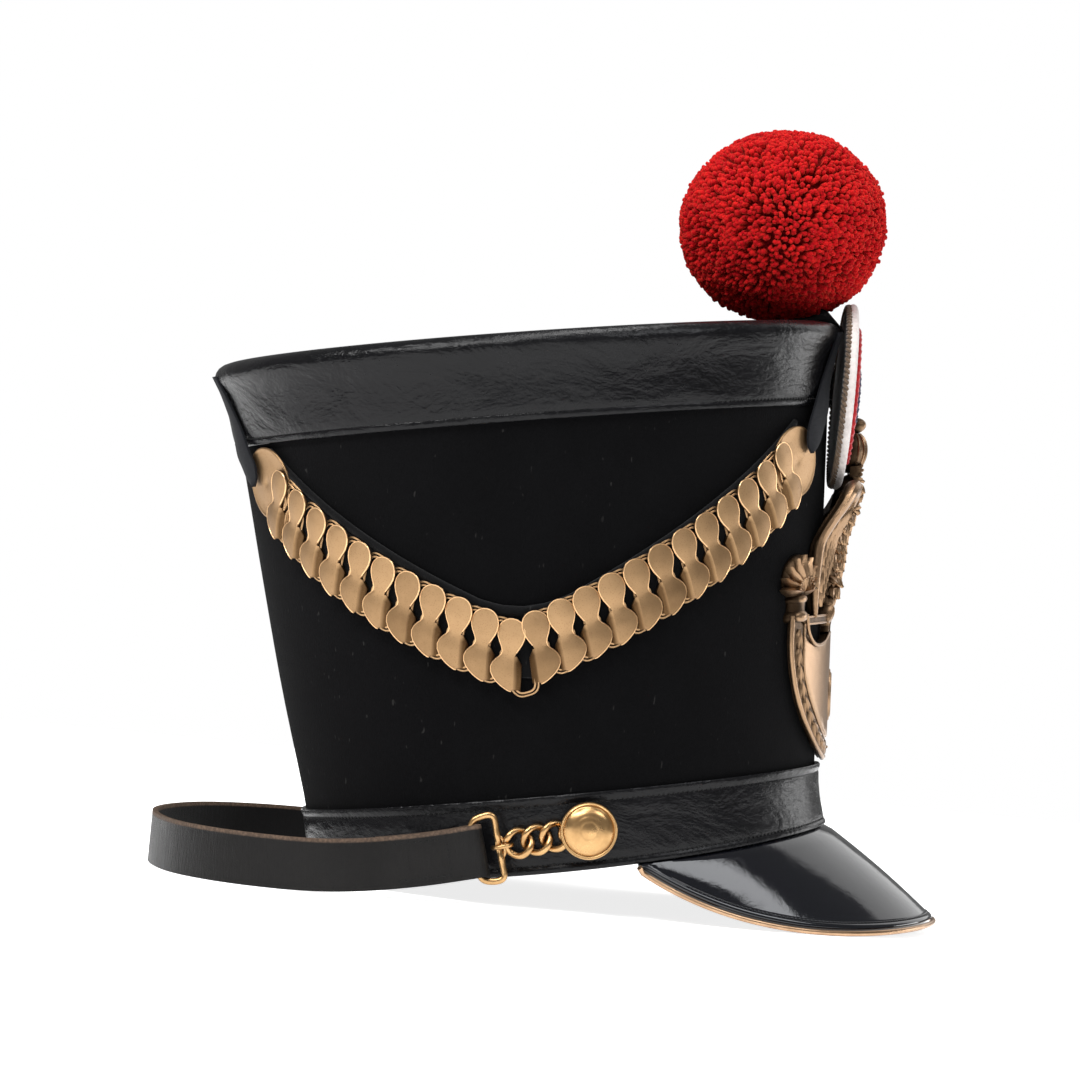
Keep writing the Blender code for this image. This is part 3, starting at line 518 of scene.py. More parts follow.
def outward(bm):
    bmesh.ops.recalc_face_normals(bm, faces=bm.faces)
    return bm


def add_layer(bm, name, value):
    """A number on every vertex, worked out by value(vert)."""
    layer = bm.verts.layers.float.new(name)
    for vert in bm.verts:
        vert[layer] = value(vert)
    return bm


def join(bm, other):
    """Add another bmesh's shape to this one."""
    mesh = as_mesh("joined", other)
    bm.from_mesh(mesh)
    bpy.data.meshes.remove(mesh)


def scatter(shape, places):
    """One copy of the shape at every matrix."""
    stamp = as_mesh("stamp", shape)
    bm = bmesh.new()
    for matrix in places:
        copy = stamp.copy()
        copy.transform(matrix)
        bm.from_mesh(copy)
        bpy.data.meshes.remove(copy)
    bpy.data.meshes.remove(stamp)
    return bm


def smooth_through(points, steps, closed=False):
    """A smooth curve through points of any size, with equal steps between each two."""
    points = [Vector(point) for point in points]
    if closed:
        padded = points[-1:] + points + points[:2]
    else:
        padded = [2 * points[0] - points[1]] + points + [2 * points[-1] - points[-2]]
    curve = [curve_between(start, end, (end - before) / 2, (after - start) / 2, step / steps)
             for before, start, end, after in zip(padded, padded[1:], padded[2:], padded[3:])
             for step in range(steps)]
    return curve if closed else curve + [points[-1]]


def turns(steps):
    """The angles of equal steps round a circle."""
    return [math.tau * step / steps for step in range(steps)]


def ball(subdivisions, radius):
    bm = bmesh.new()
    bmesh.ops.create_icosphere(bm, subdivisions=subdivisions, radius=radius)
    return bm


def verts_of(geom):
    return [item for item in geom if isinstance(item, bmesh.types.BMVert)]


def thicken(bm, faces, step):
    """Make a solid of flat faces, and hand back the vertices of its far side."""
    far = verts_of(bmesh.ops.extrude_face_region(bm, geom=faces)["geom"])
    bmesh.ops.translate(bm, verts=far, vec=step)
    return far


def round_off(bm, edges, offset, clamp_overlap=True):
    bmesh.ops.bevel(bm, geom=edges, offset=offset, segments=2, profile=0.5, affect="EDGES", material=-1,
                    clamp_overlap=clamp_overlap)


ACROSS = (1, 0, 0)
UP = (0, 1, 0)


def cut_up(bm, *cuts):
    """Cut a shape at places in millimetres along an axis, so that it can be bent."""
    for axis, places in cuts:
        for place in places:
            whole = bm.verts[:] + bm.edges[:] + bm.faces[:]
            bmesh.ops.bisect_plane(bm, geom=whole, plane_co=Vector(axis) * (place * MM), plane_no=axis,
                                   dist=0.001 * MM)


def grid_surface(columns, rows, place, closed_rows=False):
    """A grid whose points go to place(u, v), u along its columns and v along its rows, from 0 to 1."""
    bm = bmesh.new()
    bmesh.ops.create_grid(bm, x_segments=columns, y_segments=rows, size=0.5)
    for vert in bm.verts:
        vert.co = place(vert.co.x + 0.5, vert.co.y + 0.5)
    if closed_rows:
        bmesh.ops.remove_doubles(bm, verts=bm.verts, dist=0.002 * MM)
        bmesh.ops.holes_fill(bm, edges=bm.edges)
    return outward(bm)


def close_shell(bm, columns):
    """Join a grid's first row to its last one and fill its two ends."""
    bm.verts.index_update()
    last_row = len(bm.verts) - columns - 1

    def outermost(edge):
        return all(vert.index <= columns or vert.index >= last_row for vert in edge.verts)

    bmesh.ops.bridge_loops(bm, edges=[edge for edge in bm.edges if edge.is_boundary and outermost(edge)])
    bmesh.ops.holes_fill(bm, edges=bm.edges)
    return outward(bm)


CYLINDER = 100 * MM


def spun(points, steps, closed):
    """A profile spun round the Z axis."""
    bm = bmesh.new()
    verts = [bm.verts.new(point) for point in points]
    following = verts[1:] + verts[:1] if closed else verts[1:]
    edges = [bm.edges.new(pair) for pair in zip(verts, following)]
    bmesh.ops.spin(bm, geom=verts + edges, cent=(0, 0, 0), axis=(0, 0, 1), dvec=(0, 0, 0), angle=math.tau,
                   steps=steps, use_merge=True)
    return bm


def around_crown(profile, sway=0.0):
    """A closed profile of (level, proud) in millimetres, carried round the crown on a plain cylinder first;
    sway is how far the hand-laid leather wanders."""
    bm = spun([(0, CYLINDER + proud * MM, level * MM) for level, proud in profile], RING_STEPS, True)
    for vert in bm.verts:
        angle = math.atan2(-vert.co.x, -vert.co.y)
        level = vert.co.z
        proud = vert.co.xy.length - CYLINDER
        wander = sway * noise.noise(Vector((math.cos(angle), math.sin(angle), level * 12)) * 2.2)
        vert.co = wall_point(angle, level, proud + wander * smoothstep(0.6 * MM, 1.6 * MM, proud))
    return outward(bm)


def turned(profile, steps, place=Matrix.Identity(4)):
    """A turned solid from a profile of (radius, height) in millimetres, open on the axis."""
    bm = spun([(radius * MM, 0, height * MM) for radius, height in profile], steps, False)
    bmesh.ops.remove_doubles(bm, verts=bm.verts, dist=0.001 * MM)
    bm.transform(place)
    return outward(bm)


def tube(points, radii, cyclic, resolution=3):
    """A round wire through points; radii is one radius, or one for every point."""
    curve = bpy.data.curves.new("wire", "CURVE")
    curve.dimensions = "3D"
    curve.bevel_depth = 1.0
    curve.bevel_resolution = resolution
    curve.use_fill_caps = not cyclic
    spline = curve.splines.new("POLY")
    spline.points.add(len(points) - 1)
    thickness = radii if isinstance(radii, list) else [radii] * len(points)
    for slot, point, radius in zip(spline.points, points, thickness):
        slot.co = (*point, 1)
        slot.radius = radius
    spline.use_cyclic_u = cyclic
    obj = linked("wire", curve)
    depsgraph = bpy.context.evaluated_depsgraph_get()
    mesh = bpy.data.meshes.new_from_object(obj.evaluated_get(depsgraph))
    bm = bmesh.new()
    bm.from_mesh(mesh)
    bpy.data.objects.remove(obj, do_unlink=True)
    bpy.data.curves.remove(curve)
    bpy.data.meshes.remove(mesh)
    bmesh.ops.remove_doubles(bm, verts=bm.verts, dist=0.001 * MM)
    return outward(bm)


def lay(bm, place, hand):
    """Lay a flat shape of (across, up, proud) on the crown."""
    for vert in bm.verts:
        vert.co = beside(place, vert.co.x, vert.co.y, vert.co.z, hand)
    return outward(bm)


def stitches(path, pitch, length, width, height):
    """Short thread stitches sunk along a path of (point, outward normal)."""
    shape = ball(1, 1)
    bmesh.ops.scale(shape, verts=shape.verts, vec=(length / 2, width / 2, height / 2))
    places = []
    travelled = 0.0
    due = pitch / 2
    for (start, normal), (end, _) in zip(path, path[1:]):
        step = (end - start).length
        while due <= travelled + step:
            spot = start.lerp(end, (due - travelled) / step)
            along = (end - start).normalized()
            side = normal.cross(along).normalized()
            turn = Matrix((along, side, along.cross(side))).transposed().to_4x4()
            places.append(Matrix.Translation(spot) @ turn)
            due += pitch
        travelled += step
    return scatter(shape, places)


def wall_path(level, proud):
    """A ring on the wall, with its normals, for stitches; it starts at the back."""
    steps = 240
    angles = [math.pi + math.tau * step / steps for step in range(steps + 1)]
    return [(wall_point(angle, level * MM, proud * MM), wall_normal(angle, level * MM)) for angle in angles]


# ------------------------------------------------------------------ crown and bands

def make_crown():
    wall = FELT_WALL / MM
    levels = [1.0] + list(range(8, 201, 12)) + [201.0]
    outer = [(level, 0) for level in levels]
    inner = [(level, -wall) for level in (201, 165, 120, 75, 30, 15, 1.0)]
    new_piece("felt_crown", around_crown(outer + inner), FELT, ["crown_shell"])


def make_crown_top():
    """The sunk leather disc, spun flat as (share of the radius, height) and fitted to the rim's oval."""
    edge_level = 201.3 * MM
    thickness = 2.0 * MM
    sink = 4.0 * MM
    centre = (wall_point(0, edge_level, 0) + wall_point(math.pi, edge_level, 0)) / 2
    shares = [step / 14 for step in range(1, 15)]
    under = [(share * 1000, 0) for share in shares]
    over = [(share * 1000, 1000) for share in reversed(shares)]
    bm = turned([(0, 0)] + under + over + [(0, 1000)], RING_STEPS)
    for vert in bm.verts:
        share = vert.co.xy.length
        angle = math.atan2(-vert.co.x, -vert.co.y)
        rim = wall_point(angle, 201 * MM, -0.5 * MM)
        rim.z += edge_level - 201 * MM
        point = centre.lerp(rim, share)
        point.z += vert.co.z * thickness - sink * (1 - share ** 2)
        vert.co = point
    new_piece("leather_crown_top", outward(bm), BAND_LEATHER, ["crown_top"])


# Closed profiles as (level, proud) in millimetres, each with its stitch grooves.
TOP_BAND_PROFILE = (
    (172.0, 0.3), (172.0, 1.2), (172.2, 1.6), (172.8, 1.85), (174.2, 1.95), (174.8, 1.6), (175.4, 1.95),
    (178.0, 2.15), (184.0, 2.25), (190.0, 2.4), (193.5, 2.85), (196.4, 3.7), (198.6, 4.45), (200.4, 4.8),
    (202.0, 4.65), (203.5, 3.9), (204.9, 2.6), (205.9, 0.9), (206.4, -1.0), (206.5, -2.8), (206.2, -4.4),
    (205.4, -5.4), (204.4, -5.6), (203.8, -5.3), (203.8, 0.3), (187.0, 0.3),
)
HEAD_BAND_PROFILE = (
    (0.0, 0.3), (0.0, 1.6), (0.4, 2.15), (1.2, 2.35), (2.0, 2.15), (2.5, 1.7), (3.0, 1.6), (3.6, 1.85),
    (6.0, 1.9), (12.0, 1.8), (18.0, 1.75), (22.0, 1.75), (22.7, 1.45), (23.4, 1.8), (24.4, 2.15), (25.3, 2.2),
    (25.9, 1.8), (26.0, 1.3), (26.0, 0.3), (12.0, 0.3),
)
STITCH_PITCH = 2.1 * MM


def make_bands():
    for band, profile, sway in (("top_band", TOP_BAND_PROFILE, 0.5), ("head_band", HEAD_BAND_PROFILE, 0.35)):
        new_piece(f"leather_{band}", around_crown(profile, sway * MM), BAND_LEATHER, [band])
    sewing = bmesh.new()
    for level, proud in ((174.8, 1.7), (22.7, 1.55), (2.8, 1.75)):
        join(sewing, stitches(wall_path(level, proud), STITCH_PITCH, 1.2 * MM, 0.8 * MM, 0.5 * MM))
    new_piece("band_stitches", sewing, THREAD)


# ------------------------------------------------------------------ peak

PEAK_END = math.radians(75.3)   # where the leather itself ends, under the band
PEAK_ROLL = 2.2 * MM            # width of the raised roll along the edge
PEAK_ROLL_HEIGHT = 0.35 * MM
PEAK_GROOVE = 1.2 * MM
PEAK_GROOVE_DEPTH = 0.25 * MM


def peak_bulge(length, share):
    return min(PEAK_BULGE, length / 20) * math.sin(math.pi * share)


def peak_face(angle, share):
    """A point of the peak's outer face and its normal; its edge has a raised roll and a stitched groove."""
    root, edge, normal = peak_edge(angle)
    length = (edge - root).length
    from_edge = length * (1 - share)
    lift = peak_bulge(length, share)
    fit = smoothstep(0, 2 * PEAK_ROLL, length)
    if from_edge < PEAK_ROLL:
        lift += fit * PEAK_ROLL_HEIGHT * math.sin(math.pi * from_edge / PEAK_ROLL) ** 0.6
    elif from_edge < PEAK_ROLL + PEAK_GROOVE:
        lift -= fit * PEAK_GROOVE_DEPTH * math.sin(math.pi * (from_edge - PEAK_ROLL) / PEAK_GROOVE)
    return root.lerp(edge, share) + normal * lift, normal


# How far in from the peak's edge the face has its rows of points, in millimetres.
PEAK_ROWS = (0, 0.2, 0.5, 0.8, 1.1, 1.4, 1.7, 1.95, 2.2, 2.5, 2.8, 3.1, 3.4, 3.8, 4.6)
PEAK_INNER_ROWS = 14


def make_peak():
    """The face from its root to its edge, and back underneath."""
    face_rows = PEAK_INNER_ROWS + len(PEAK_ROWS)
    under_rows = 8

    def place(u, v):
        angle = interpolate(-PEAK_END, PEAK_END, u)
        root, edge, normal = peak_edge(angle)
        length = (edge - root).length
        row = round(v * (face_rows + under_rows - 1))
        if row == 0:
            return root - wall_normal(angle, 0) * 1.6 * MM + Vector((0, 0, 0.9 * GAP))
        if row >= face_rows:
            share = 1 - (row - face_rows) / (under_rows - 1)
            return root.lerp(edge, share) + normal * (peak_bulge(length, share) - PEAK_THICK)
        fit = min(1.0, length / (2.2 * PEAK_ROWS[-1] * MM))
        if row >= PEAK_INNER_ROWS:
            in_from_edge = PEAK_ROWS[face_rows - 1 - row] * MM * fit
        else:
            in_from_edge = interpolate(length, (PEAK_ROWS[-1] + 0.8) * MM * fit, row / PEAK_INNER_ROWS)
        return peak_face(angle, 1 - in_from_edge / length)[0]

    bm = grid_surface(180, face_rows + under_rows - 1, place)
    new_piece("patent_peak", close_shell(bm, 180), PATENT, ["peak"])

    centres = [binding_centre(angle) for angle in peak_angles(121, PEAK_END)]
    new_piece("brass_peak_binding", tube(centres, BINDING_RADIUS, False), BINDING_BRASS,
              ["peak_binding"])

    path = []
    for angle in peak_angles(161, PEAK_END)[10:-10]:
        root, edge, normal = peak_edge(angle)
        share = 1 - (PEAK_ROLL + PEAK_GROOVE / 2) / (edge - root).length
        path.append((peak_face(angle, share)[0] + normal * 0.1 * MM, normal))
    sewing = stitches(path, 1.75 * MM, 1.6 * MM, 1.0 * MM, 0.9 * MM)
    new_piece("peak_stitches", sewing, PATENT)


# ------------------------------------------------------------------ pompom

STRANDS = 6300
POMPOM_SEED = 11
GOLDEN_TURN = math.pi * (3 - math.sqrt(5))
# One strand's profile as (radius in millimetres, share of its length).
STRAND_PROFILE = ((0, 0), (0.6, 0), (1.2, 0.92), (0.85, 0.985), (0, 1.0))
STRAND_ROOT = 0.6               # how far out the strands begin, as a share of the radius
CORE_SHARE = 0.89               # the closed core's radius, as a share of the ball's


def make_pompom():
    """Cut yarn ends over a ball: every strand runs out from the middle, and they lean together in clumps."""
    spread = random.Random(POMPOM_SEED)
    noise.seed_set(POMPOM_SEED)     # vector noise is seeded from the clock otherwise
    strand = turned([(radius, height * 1000) for radius, height in STRAND_PROFILE], 5)
    # tip runs from 0 at a strand's root to 1 at its cut end; the wool is painted darker towards the root as
    # shade.
    add_layer(strand, "tip", lambda vert: vert.co.z)
    size = len(strand.verts)
    places = []
    for index in range(STRANDS):
        height = 1 - 2 * (index + 0.5) / STRANDS
        turn = index * GOLDEN_TURN
        ring = math.sqrt(1 - height * height)
        out = Vector((ring * math.cos(turn), ring * math.sin(turn), height))
        jitter = Vector([spread.gauss(0, 0.020) for _ in range(3)])
        combed = noise.noise_vector(out * 1.7) * 0.20 + noise.noise_vector(out * 5.5) * 0.05
        aim = (out + jitter + combed).normalized()
        tip = Vector([value * radius for value, radius in zip(aim, POMPOM_RADII)])
        bulge = noise.noise(out * 3.1) * 0.9 * MM + noise.noise(out * 9.0) * 0.9 * MM
        tip *= 1 - 0.014 + bulge / POMPOM_RADII.x + spread.gauss(0, 0.007)
        root = out * POMPOM_RADII.x * STRAND_ROOT
        lean = tip - root
        turn_to = lean.to_track_quat("Z", "X").to_matrix().to_4x4()
        thickness = spread.uniform(0.82, 1.18)
        size_to = Matrix.Diagonal((thickness, thickness * spread.uniform(0.75, 1.1), lean.length, 1))
        spin = Matrix.Rotation(spread.uniform(0, math.tau), 4, "Z")
        places.append(Matrix.Translation(POMPOM_CENTRE + root) @ turn_to @ spin @ size_to)
    bm = scatter(strand, places)
    tones = [spread.random() for _ in range(STRANDS)]
    bm.verts.index_update()
    add_layer(bm, "tone", lambda vert: tones[vert.index // size])
    new_piece("wool_pompom", bm, RED_WOOL, ["pompom"], sharp=80)

    core = ball(4, POMPOM_RADII.x * CORE_SHARE)
    bmesh.ops.translate(core, verts=core.verts, vec=POMPOM_CENTRE)
    # The core takes the middle of the painted root shade.
    add_layer(core, "tip", lambda vert: 0.5)
    new_piece("pompom_core", core, RED_WOOL)


# The holder's side view as (y, z): under the pompom, down to the rim's front, and back along the rim.
HOLDER_OUTLINE = ((-100, 206.0), (-110, 206.8), (-116, 209.5), (-121, 211.5), (-127, 207.6), (-132.4, 199.8),
                  (-132.7, 198.6), (-132.1, 198.6), (-131.3, 200.3), (-130.0, 201.8), (-128.2, 202.8),
                  (-126.2, 203.3), (-122.5, 203.5), (-112, 204.2), (-100, 204.4))


def make_pompom_holder():
    """A leather block that carries the pompom on the rim."""
    half_width = 7 * MM
    bm = bmesh.new()
    side = bm.faces.new([bm.verts.new((-half_width, y * MM, z * MM)) for y, z in HOLDER_OUTLINE])
    thicken(bm, [side], (2 * half_width, 0, 0))
    round_off(outward(bm), bm.edges[:], 0.25 * MM)
    new_piece("leather_pompom_holder", outward(bm), BAND_LEATHER, ["pompom_holder"])


def rounded_section(share, half_width, half_thick):
    """A point on a rounded rectangle at a share of the way round, with most points near the corners."""
    turn = share * math.tau
    x, y = [math.copysign(abs(part) ** 0.14, part) if abs(part) > 1e-6 else 0.0
            for part in (math.cos(turn), math.sin(turn))]
    stretch = 1 / max(abs(x), abs(y))
    return x * stretch * half_width, y * stretch * half_thick


# ------------------------------------------------------------------ cockade

def knitted_disc(inner, outer, low, high, lobes, depth):
    """A ring of knitting with a scalloped, rounded edge; radii and heights in millimetres."""
    middle = (low + high) / 2
    half = (high - low) / 2
    profile = [(inner, low), (outer - half, low)]
    profile += [(outer - half + half * math.sin(t), middle - half * math.cos(t))
                for t in (math.pi * step / 6 for step in range(1, 6))]
    profile += [(outer - half, high)]
    ribs = max(2, round((outer - half - inner) / 1.5))
    profile += [(interpolate(outer - half, inner, step / ribs), high) for step in range(1, ribs + 1)]
    bm = turned(profile, 288)
    for vert in bm.verts:
        radius = vert.co.xy.length
        if radius < 0.1 * MM:
            continue
        turn = math.atan2(vert.co.y, vert.co.x)
        row = radius / (1.5 * MM)
        stitch = math.cos(turn * lobes + math.pi * (int(row) % 2)) * math.cos(math.pi * (row % 1 - 0.5))
        near_edge = smoothstep((outer - 2.5) * MM, outer * MM, radius)
        push = 1 + depth * MM * near_edge * math.cos(turn * lobes) / radius
        vert.co.x *= push
        vert.co.y *= push
        if vert.co.z > (high - 0.1) * MM:
            vert.co.z += 0.35 * MM * stitch
    return bm


def twisted_ring(radius, height, cord, twists):
    """Two strands twisted together round a ring; sizes in millimetres."""
    bm = bmesh.new()
    for start in (0, math.pi):
        points = []
        for turn in turns(420):
            twist = start + twists * turn
            reach = radius + cord * math.cos(twist)
            rise = height + cord * math.sin(twist)
            points.append(Vector((reach * math.cos(turn), reach * math.sin(turn), rise)) * MM)
        join(bm, tube(points, cord * 0.95 * MM, True, 1))
    return bm


def make_cockade():
    facing = Matrix.Translation(COCKADE_BACK) @ Matrix.Rotation(math.pi / 2 + COCKADE_LEAN, 4, "X")
    radius = COCKADE_RADIUS / MM
    # The first ring is a black disc of painted shade behind the white knitting, where the cockade lies in
    # shadow against the crown.
    rings = (("cockade_painted_shade_disc", THREAD, (0, radius - 2.2, 0.0, 0.7, 72, 0.1), []),
             ("cockade_white", WHITE_YARN, (0, radius, 0.6, 4.5, 72, 0.25), ["cockade"]),
             ("cockade_red", RED_YARN, (0, radius - 9.5, 4.4, 6.4, 44, 0.55), []),
             ("cockade_blue", BLUE_YARN, (0, radius - 26, 6.3, 8.2, 20, 0.45), []))
    for name, material, sizes, nodes in rings:
        bm = knitted_disc(*sizes)
        bm.transform(facing)
        new_piece(name, outward(bm), material, nodes, sharp=60)
    cord = twisted_ring(radius - 1.6, 0.75, 0.85, 52)
    cord.transform(facing)
    new_piece("cockade_cord", cord, CORD_YARN)


# ------------------------------------------------------------------ chevron, scales, plates, ribbons

# The chevron's section as (down from its upper edge, height), ending at its lower edge, in millimetres.
CHEVRON_SECTION = ((0, 0), (-0.2, 0.7), (0.1, 1.5), (0.8, 2.1), (1.7, 2.3), (2.6, 2.0), (3.4, 1.4),
                   (4.0, 0.8), (4.8, 0.9), (8, 1.0), (26.9, 1.0), (27.8, 0.7), (28, 0))


def make_chevron(side, hand):
    """A black felt V under the scales, with a soft roll along its upper edge."""
    def middle(share):
        if share < 0.5:
            return Vector(leg_place(REAR_PLATE, APEX, 2 * share))
        return Vector(leg_place(APEX, FRONT_PLATE, 2 * share - 1))

    def place(u, v):
        reach = min(0.07, u, 1 - u)
        spot = sum((middle(u + reach * step) for step in (-1, -0.5, 0, 0.5, 1)), Vector((0, 0))) / 5
        down, height = CHEVRON_SECTION[round(v * (len(CHEVRON_SECTION) - 1))]
        top = min(CHEVRON_TOP, 170 * MM - spot.y)
        return beside(spot, 0, top - down * MM, SEAT + height * MM, hand)

    columns = 120
    bm = close_shell(grid_surface(columns, len(CHEVRON_SECTION) - 1, place), columns)
    new_piece(f"felt_chevron_{side}", bm, CHEVRON_FELT, [f"chevron_{side}"])


# One plate's outline as (towards the V's middle, up) in millimetres, from its top down the inner side: an
# egg-shaped upper lobe, a waist, a straight side that is bent back, a low corner and a bulging outer side.
UPPER_INNER = ((0, 14.2), (1.5, 14.0), (2.9, 13.3), (4.1, 12.1), (4.9, 10.5), (5.3, 8.6), (5.2, 6.6),
               (4.7, 4.7), (3.9, 2.9), (3.1, 1.2))
INNER_SIDE = ((2.7, -0.2), (2.9, -3.2), (3.3, -6.6), (3.7, -10.0), (3.9, -13.2))
LOWER_OUTER = ((3.4, -13.9), (2.6, -13.9), (1.1, -13.3), (-0.8, -12.3), (-2.6, -11.1), (-4.3, -9.5),
               (-5.5, -7.6), (-5.9, -5.6), (-5.4, -3.8), (-4.3, -2.2), (-3.2, -1.1), (-2.5, 0.0))
UPPER_OUTER = ((-2.3, 1.2), (-2.8, 2.9), (-3.8, 4.8), (-4.7, 6.8), (-5.1, 8.7), (-4.9, 10.5), (-4.1, 12.1),
               (-2.9, 13.3), (-1.5, 14.0))
BENT_BACK = Vector((2.5, 0, -2.2)) * MM         # the inner side's edge, from its fold
RIM_RADIUS = 0.26 * MM
# Painted highlight: the rim tube's tone, which brightens its colour and lowers its roughness.
PAINTED_RIM_HIGHLIGHT = 5.0


def scale_shape(inner, tone):
    """One plate with a rounded rim brightened by a painted highlight, a soft hollow at its waist, and its
    inner lower side bent back and painted in shade.
    """
    bm = bmesh.new()
    outline = UPPER_INNER + INNER_SIDE + LOWER_OUTER + UPPER_OUTER
    verts = [bm.verts.new((across * MM, up * MM, 0)) for across, up in outline]
    bm.faces.new(verts)
    fold = verts[len(UPPER_INNER):len(UPPER_INNER) + len(INNER_SIDE)]
    edges = [edge for edge in bm.edges if all(vert in fold for vert in edge.verts)]
    for vert in verts_of(bmesh.ops.extrude_edge_only(bm, edges=edges)["geom"]):
        vert.co += BENT_BACK * smoothstep(0.4 * MM, -1.4 * MM, vert.co.y)
    cut_up(bm, (UP, (-11, -8, -5, -2.5, 0, 2.5, 5.5, 9, 12)), (ACROSS, (-2.6, 0, 2.2)))
    top = thicken(bm, bm.faces[:], (0, 0, SCALE_THICK))
    outward(bm)
    rim = [edge for edge in bm.edges if all(vert in top for vert in edge.verts)
           and edge.calc_face_angle(0) > math.radians(50)]
    round_off(bm, rim, 0.4 * MM)

    # Painted shade: the lower lobe and the bent-back inner side are made darker than the plate's own random
    # tone.
    def tone_with_painted_shade(vert):
        lower = 0.7 * smoothstep(1 * MM, -5 * MM, vert.co.y)
        bent = 4.5 * smoothstep(0.75 * MM, 1.3 * MM, SCALE_THICK - vert.co.z)
        return tone - lower - bent

    add_layer(bm, "tone", tone_with_painted_shade)
    # Painted highlight: a thin rim tube along the outline, with a raised tone.
    path = [Vector((across, up, 0)) * MM for across, up in LOWER_OUTER + UPPER_OUTER + UPPER_INNER]
    rim_highlight = add_layer(tube(path, RIM_RADIUS, False, 1), "tone", lambda vert: PAINTED_RIM_HIGHLIGHT)
    bmesh.ops.translate(rim_highlight, verts=rim_highlight.verts, vec=(0, 0, SCALE_THICK - 0.1 * MM))
    join(bm, rim_highlight)
    for vert in bm.verts:
        along = vert.co.y / (14 * MM)
        edge_drop = 0.35 * MM * smoothstep(0.55, 1.0, abs(along))
        waist = 0.75 * MM * math.exp(-(vert.co.y / (3.4 * MM)) ** 2)
        crown = 0.5 * MM * (1 - (vert.co.x / (5.2 * MM)) ** 2)
        vert.co.z += crown - waist - edge_drop
    if inner < 0:
        bmesh.ops.scale(bm, verts=bm.verts, vec=(-1, 1, 1))
        bmesh.ops.reverse_faces(bm, faces=bm.faces)
    return bm


# The back layer's double loops, as what each adds to their size and its height, in millimetres.
LOOPS = ((-0.5, 1.0), (0.7, 0.5))
LOOP_WIRE = 0.42 * MM
LOOP_TURNS = turns(48)


def loop_shape(grow, stretch):
    """A long wire loop of the back layer, with flat ends, round corners and a drawn-in waist, or a stretch
    of one."""
    points = []
    for turn in stretch:
        up, side = [math.copysign(abs(part) ** 0.6, part) for part in (math.sin(turn), math.cos(turn))]
        waist = interpolate(0.5, 1.0, smoothstep(0.1, 0.6, abs(up)))
        points.append(Vector(((5.2 + grow) * waist * side, (12.2 + grow) * up, 0)) * MM)
    wire = tube(points, LOOP_WIRE, len(stretch) == len(LOOP_TURNS), 1)
    return add_layer(wire, "tone", lambda vert: 2.2)


def join_loops(leg, place, slant, raised, hand, stretch=LOOP_TURNS):
    """A double wire loop of the back layer, square to the chain."""
    for grow, height in LOOPS:
        loop = loop_shape(grow, stretch)
        shift = Matrix.Translation((0, raised, SCALE_BASE + height * MM))
        loop.transform(shift @ Matrix.Rotation(slant, 4, "Z"))
        join(leg, lay(loop, place, hand))


def leg_slant(top, low, share, hand):
    """How steeply a leg falls at one place."""
    ends = [wall_point(hand * angle, level, 0) for angle, level in
            (leg_place(top, low, share - 0.02), leg_place(top, low, share + 0.02))]
    fall = ends[1] - ends[0]
    return math.asin(-fall.z / fall.length)


def make_scales(side, hand, end, top, low, count, leans, inner):
    """A leg of overlapping plates over double wire loops that lie half-way between them."""
    tones = random.Random(5)
    leg = bmesh.new()
    for index in range(count):
        share = index / (count - 1)
        turn = Matrix.Rotation(interpolate(*leans, share), 4, "Z")
        plate = scale_shape(inner, tones.random())
        tip_over = Matrix.Rotation(-inner * math.radians(5.0), 4, "Y")
        plate.transform(Matrix.Translation((0, 0, SCALE_BASE + SCALE_LIFT)) @ turn @ tip_over)
        join(leg, lay(plate, leg_place(top, low, share), hand))
        between = max(0.03, share - 0.5 / (count - 1))
        join_loops(leg, leg_place(top, low, between), -inner * leg_slant(top, low, between, hand), 0, hand)
    if end == "rear":
        join_loops(leg, APEX_RING_PLACE, inner * 0.2, 9.0 * MM, hand, LOOP_TURNS[27:46])
    new_piece(f"brass_scales_{side}_{end}", leg, SCALE_BRASS, [f"scales_{side}_{end}"],
              sharp=21)


# Half an end plate's section as (share of its half-size, height in millimetres), under, rim and face.
PLATE_SECTION = ((0, 0), (0.985, 0), (1.0, 0.2), (1.0, 0.7), (0.985, 1.0), (0.955, 1.1), (0.93, 0.95),
                 (0.9, 0.8), (0.6, 0.9), (0.3, 0.95), (0.12, 0.95), (0.08, 0.8), (0, 0.72))


def make_end_plate(side, hand, end, place):
    """A thin oval plate with a fine raised rim and a shallow dimple."""
    profile = [(share * 1000, height) for share, height in PLATE_SECTION]
    bm = turned(profile, 72)
    for vert in bm.verts:
        vert.co = (vert.co.x * PLATE_HALF_WIDTH, vert.co.y * PLATE_HALF_HEIGHT, vert.co.z + SCALE_BASE)
    add_layer(bm, "tone", lambda vert: 0.75)
    new_piece(f"brass_plate_{side}_{end}", lay(bm, place, hand), SCALE_BRASS,
              [f"scale_plate_{side}_{end}"], sharp=60)


# A ribbon's middle from the rim down as (angle in degrees, level, proud, half-width in millimetres).
FRONT_RIBBON = ((11, 201.5, 4.9, 3.2), (13.8, 192, 3.2, 4.6), (18, 180, 2.6, 6.0), (22.5, 169.5, 4.2, 7.2),
                (25, 162, 4.5, 6.6), (26.2, 156, 4.6, 4.4), (26.8, 152.6, 4.6, 0.4))
REAR_RIBBON = ((171, 201.5, 4.9, 3.2), (168, 192, 3.2, 4.6), (164, 180, 2.6, 6.0), (160, 169.5, 4.2, 7.2),
               (157.8, 164, 4.5, 6.6), (156.8, 159, 4.6, 4.4), (156.3, 155.6, 4.6, 0.4))


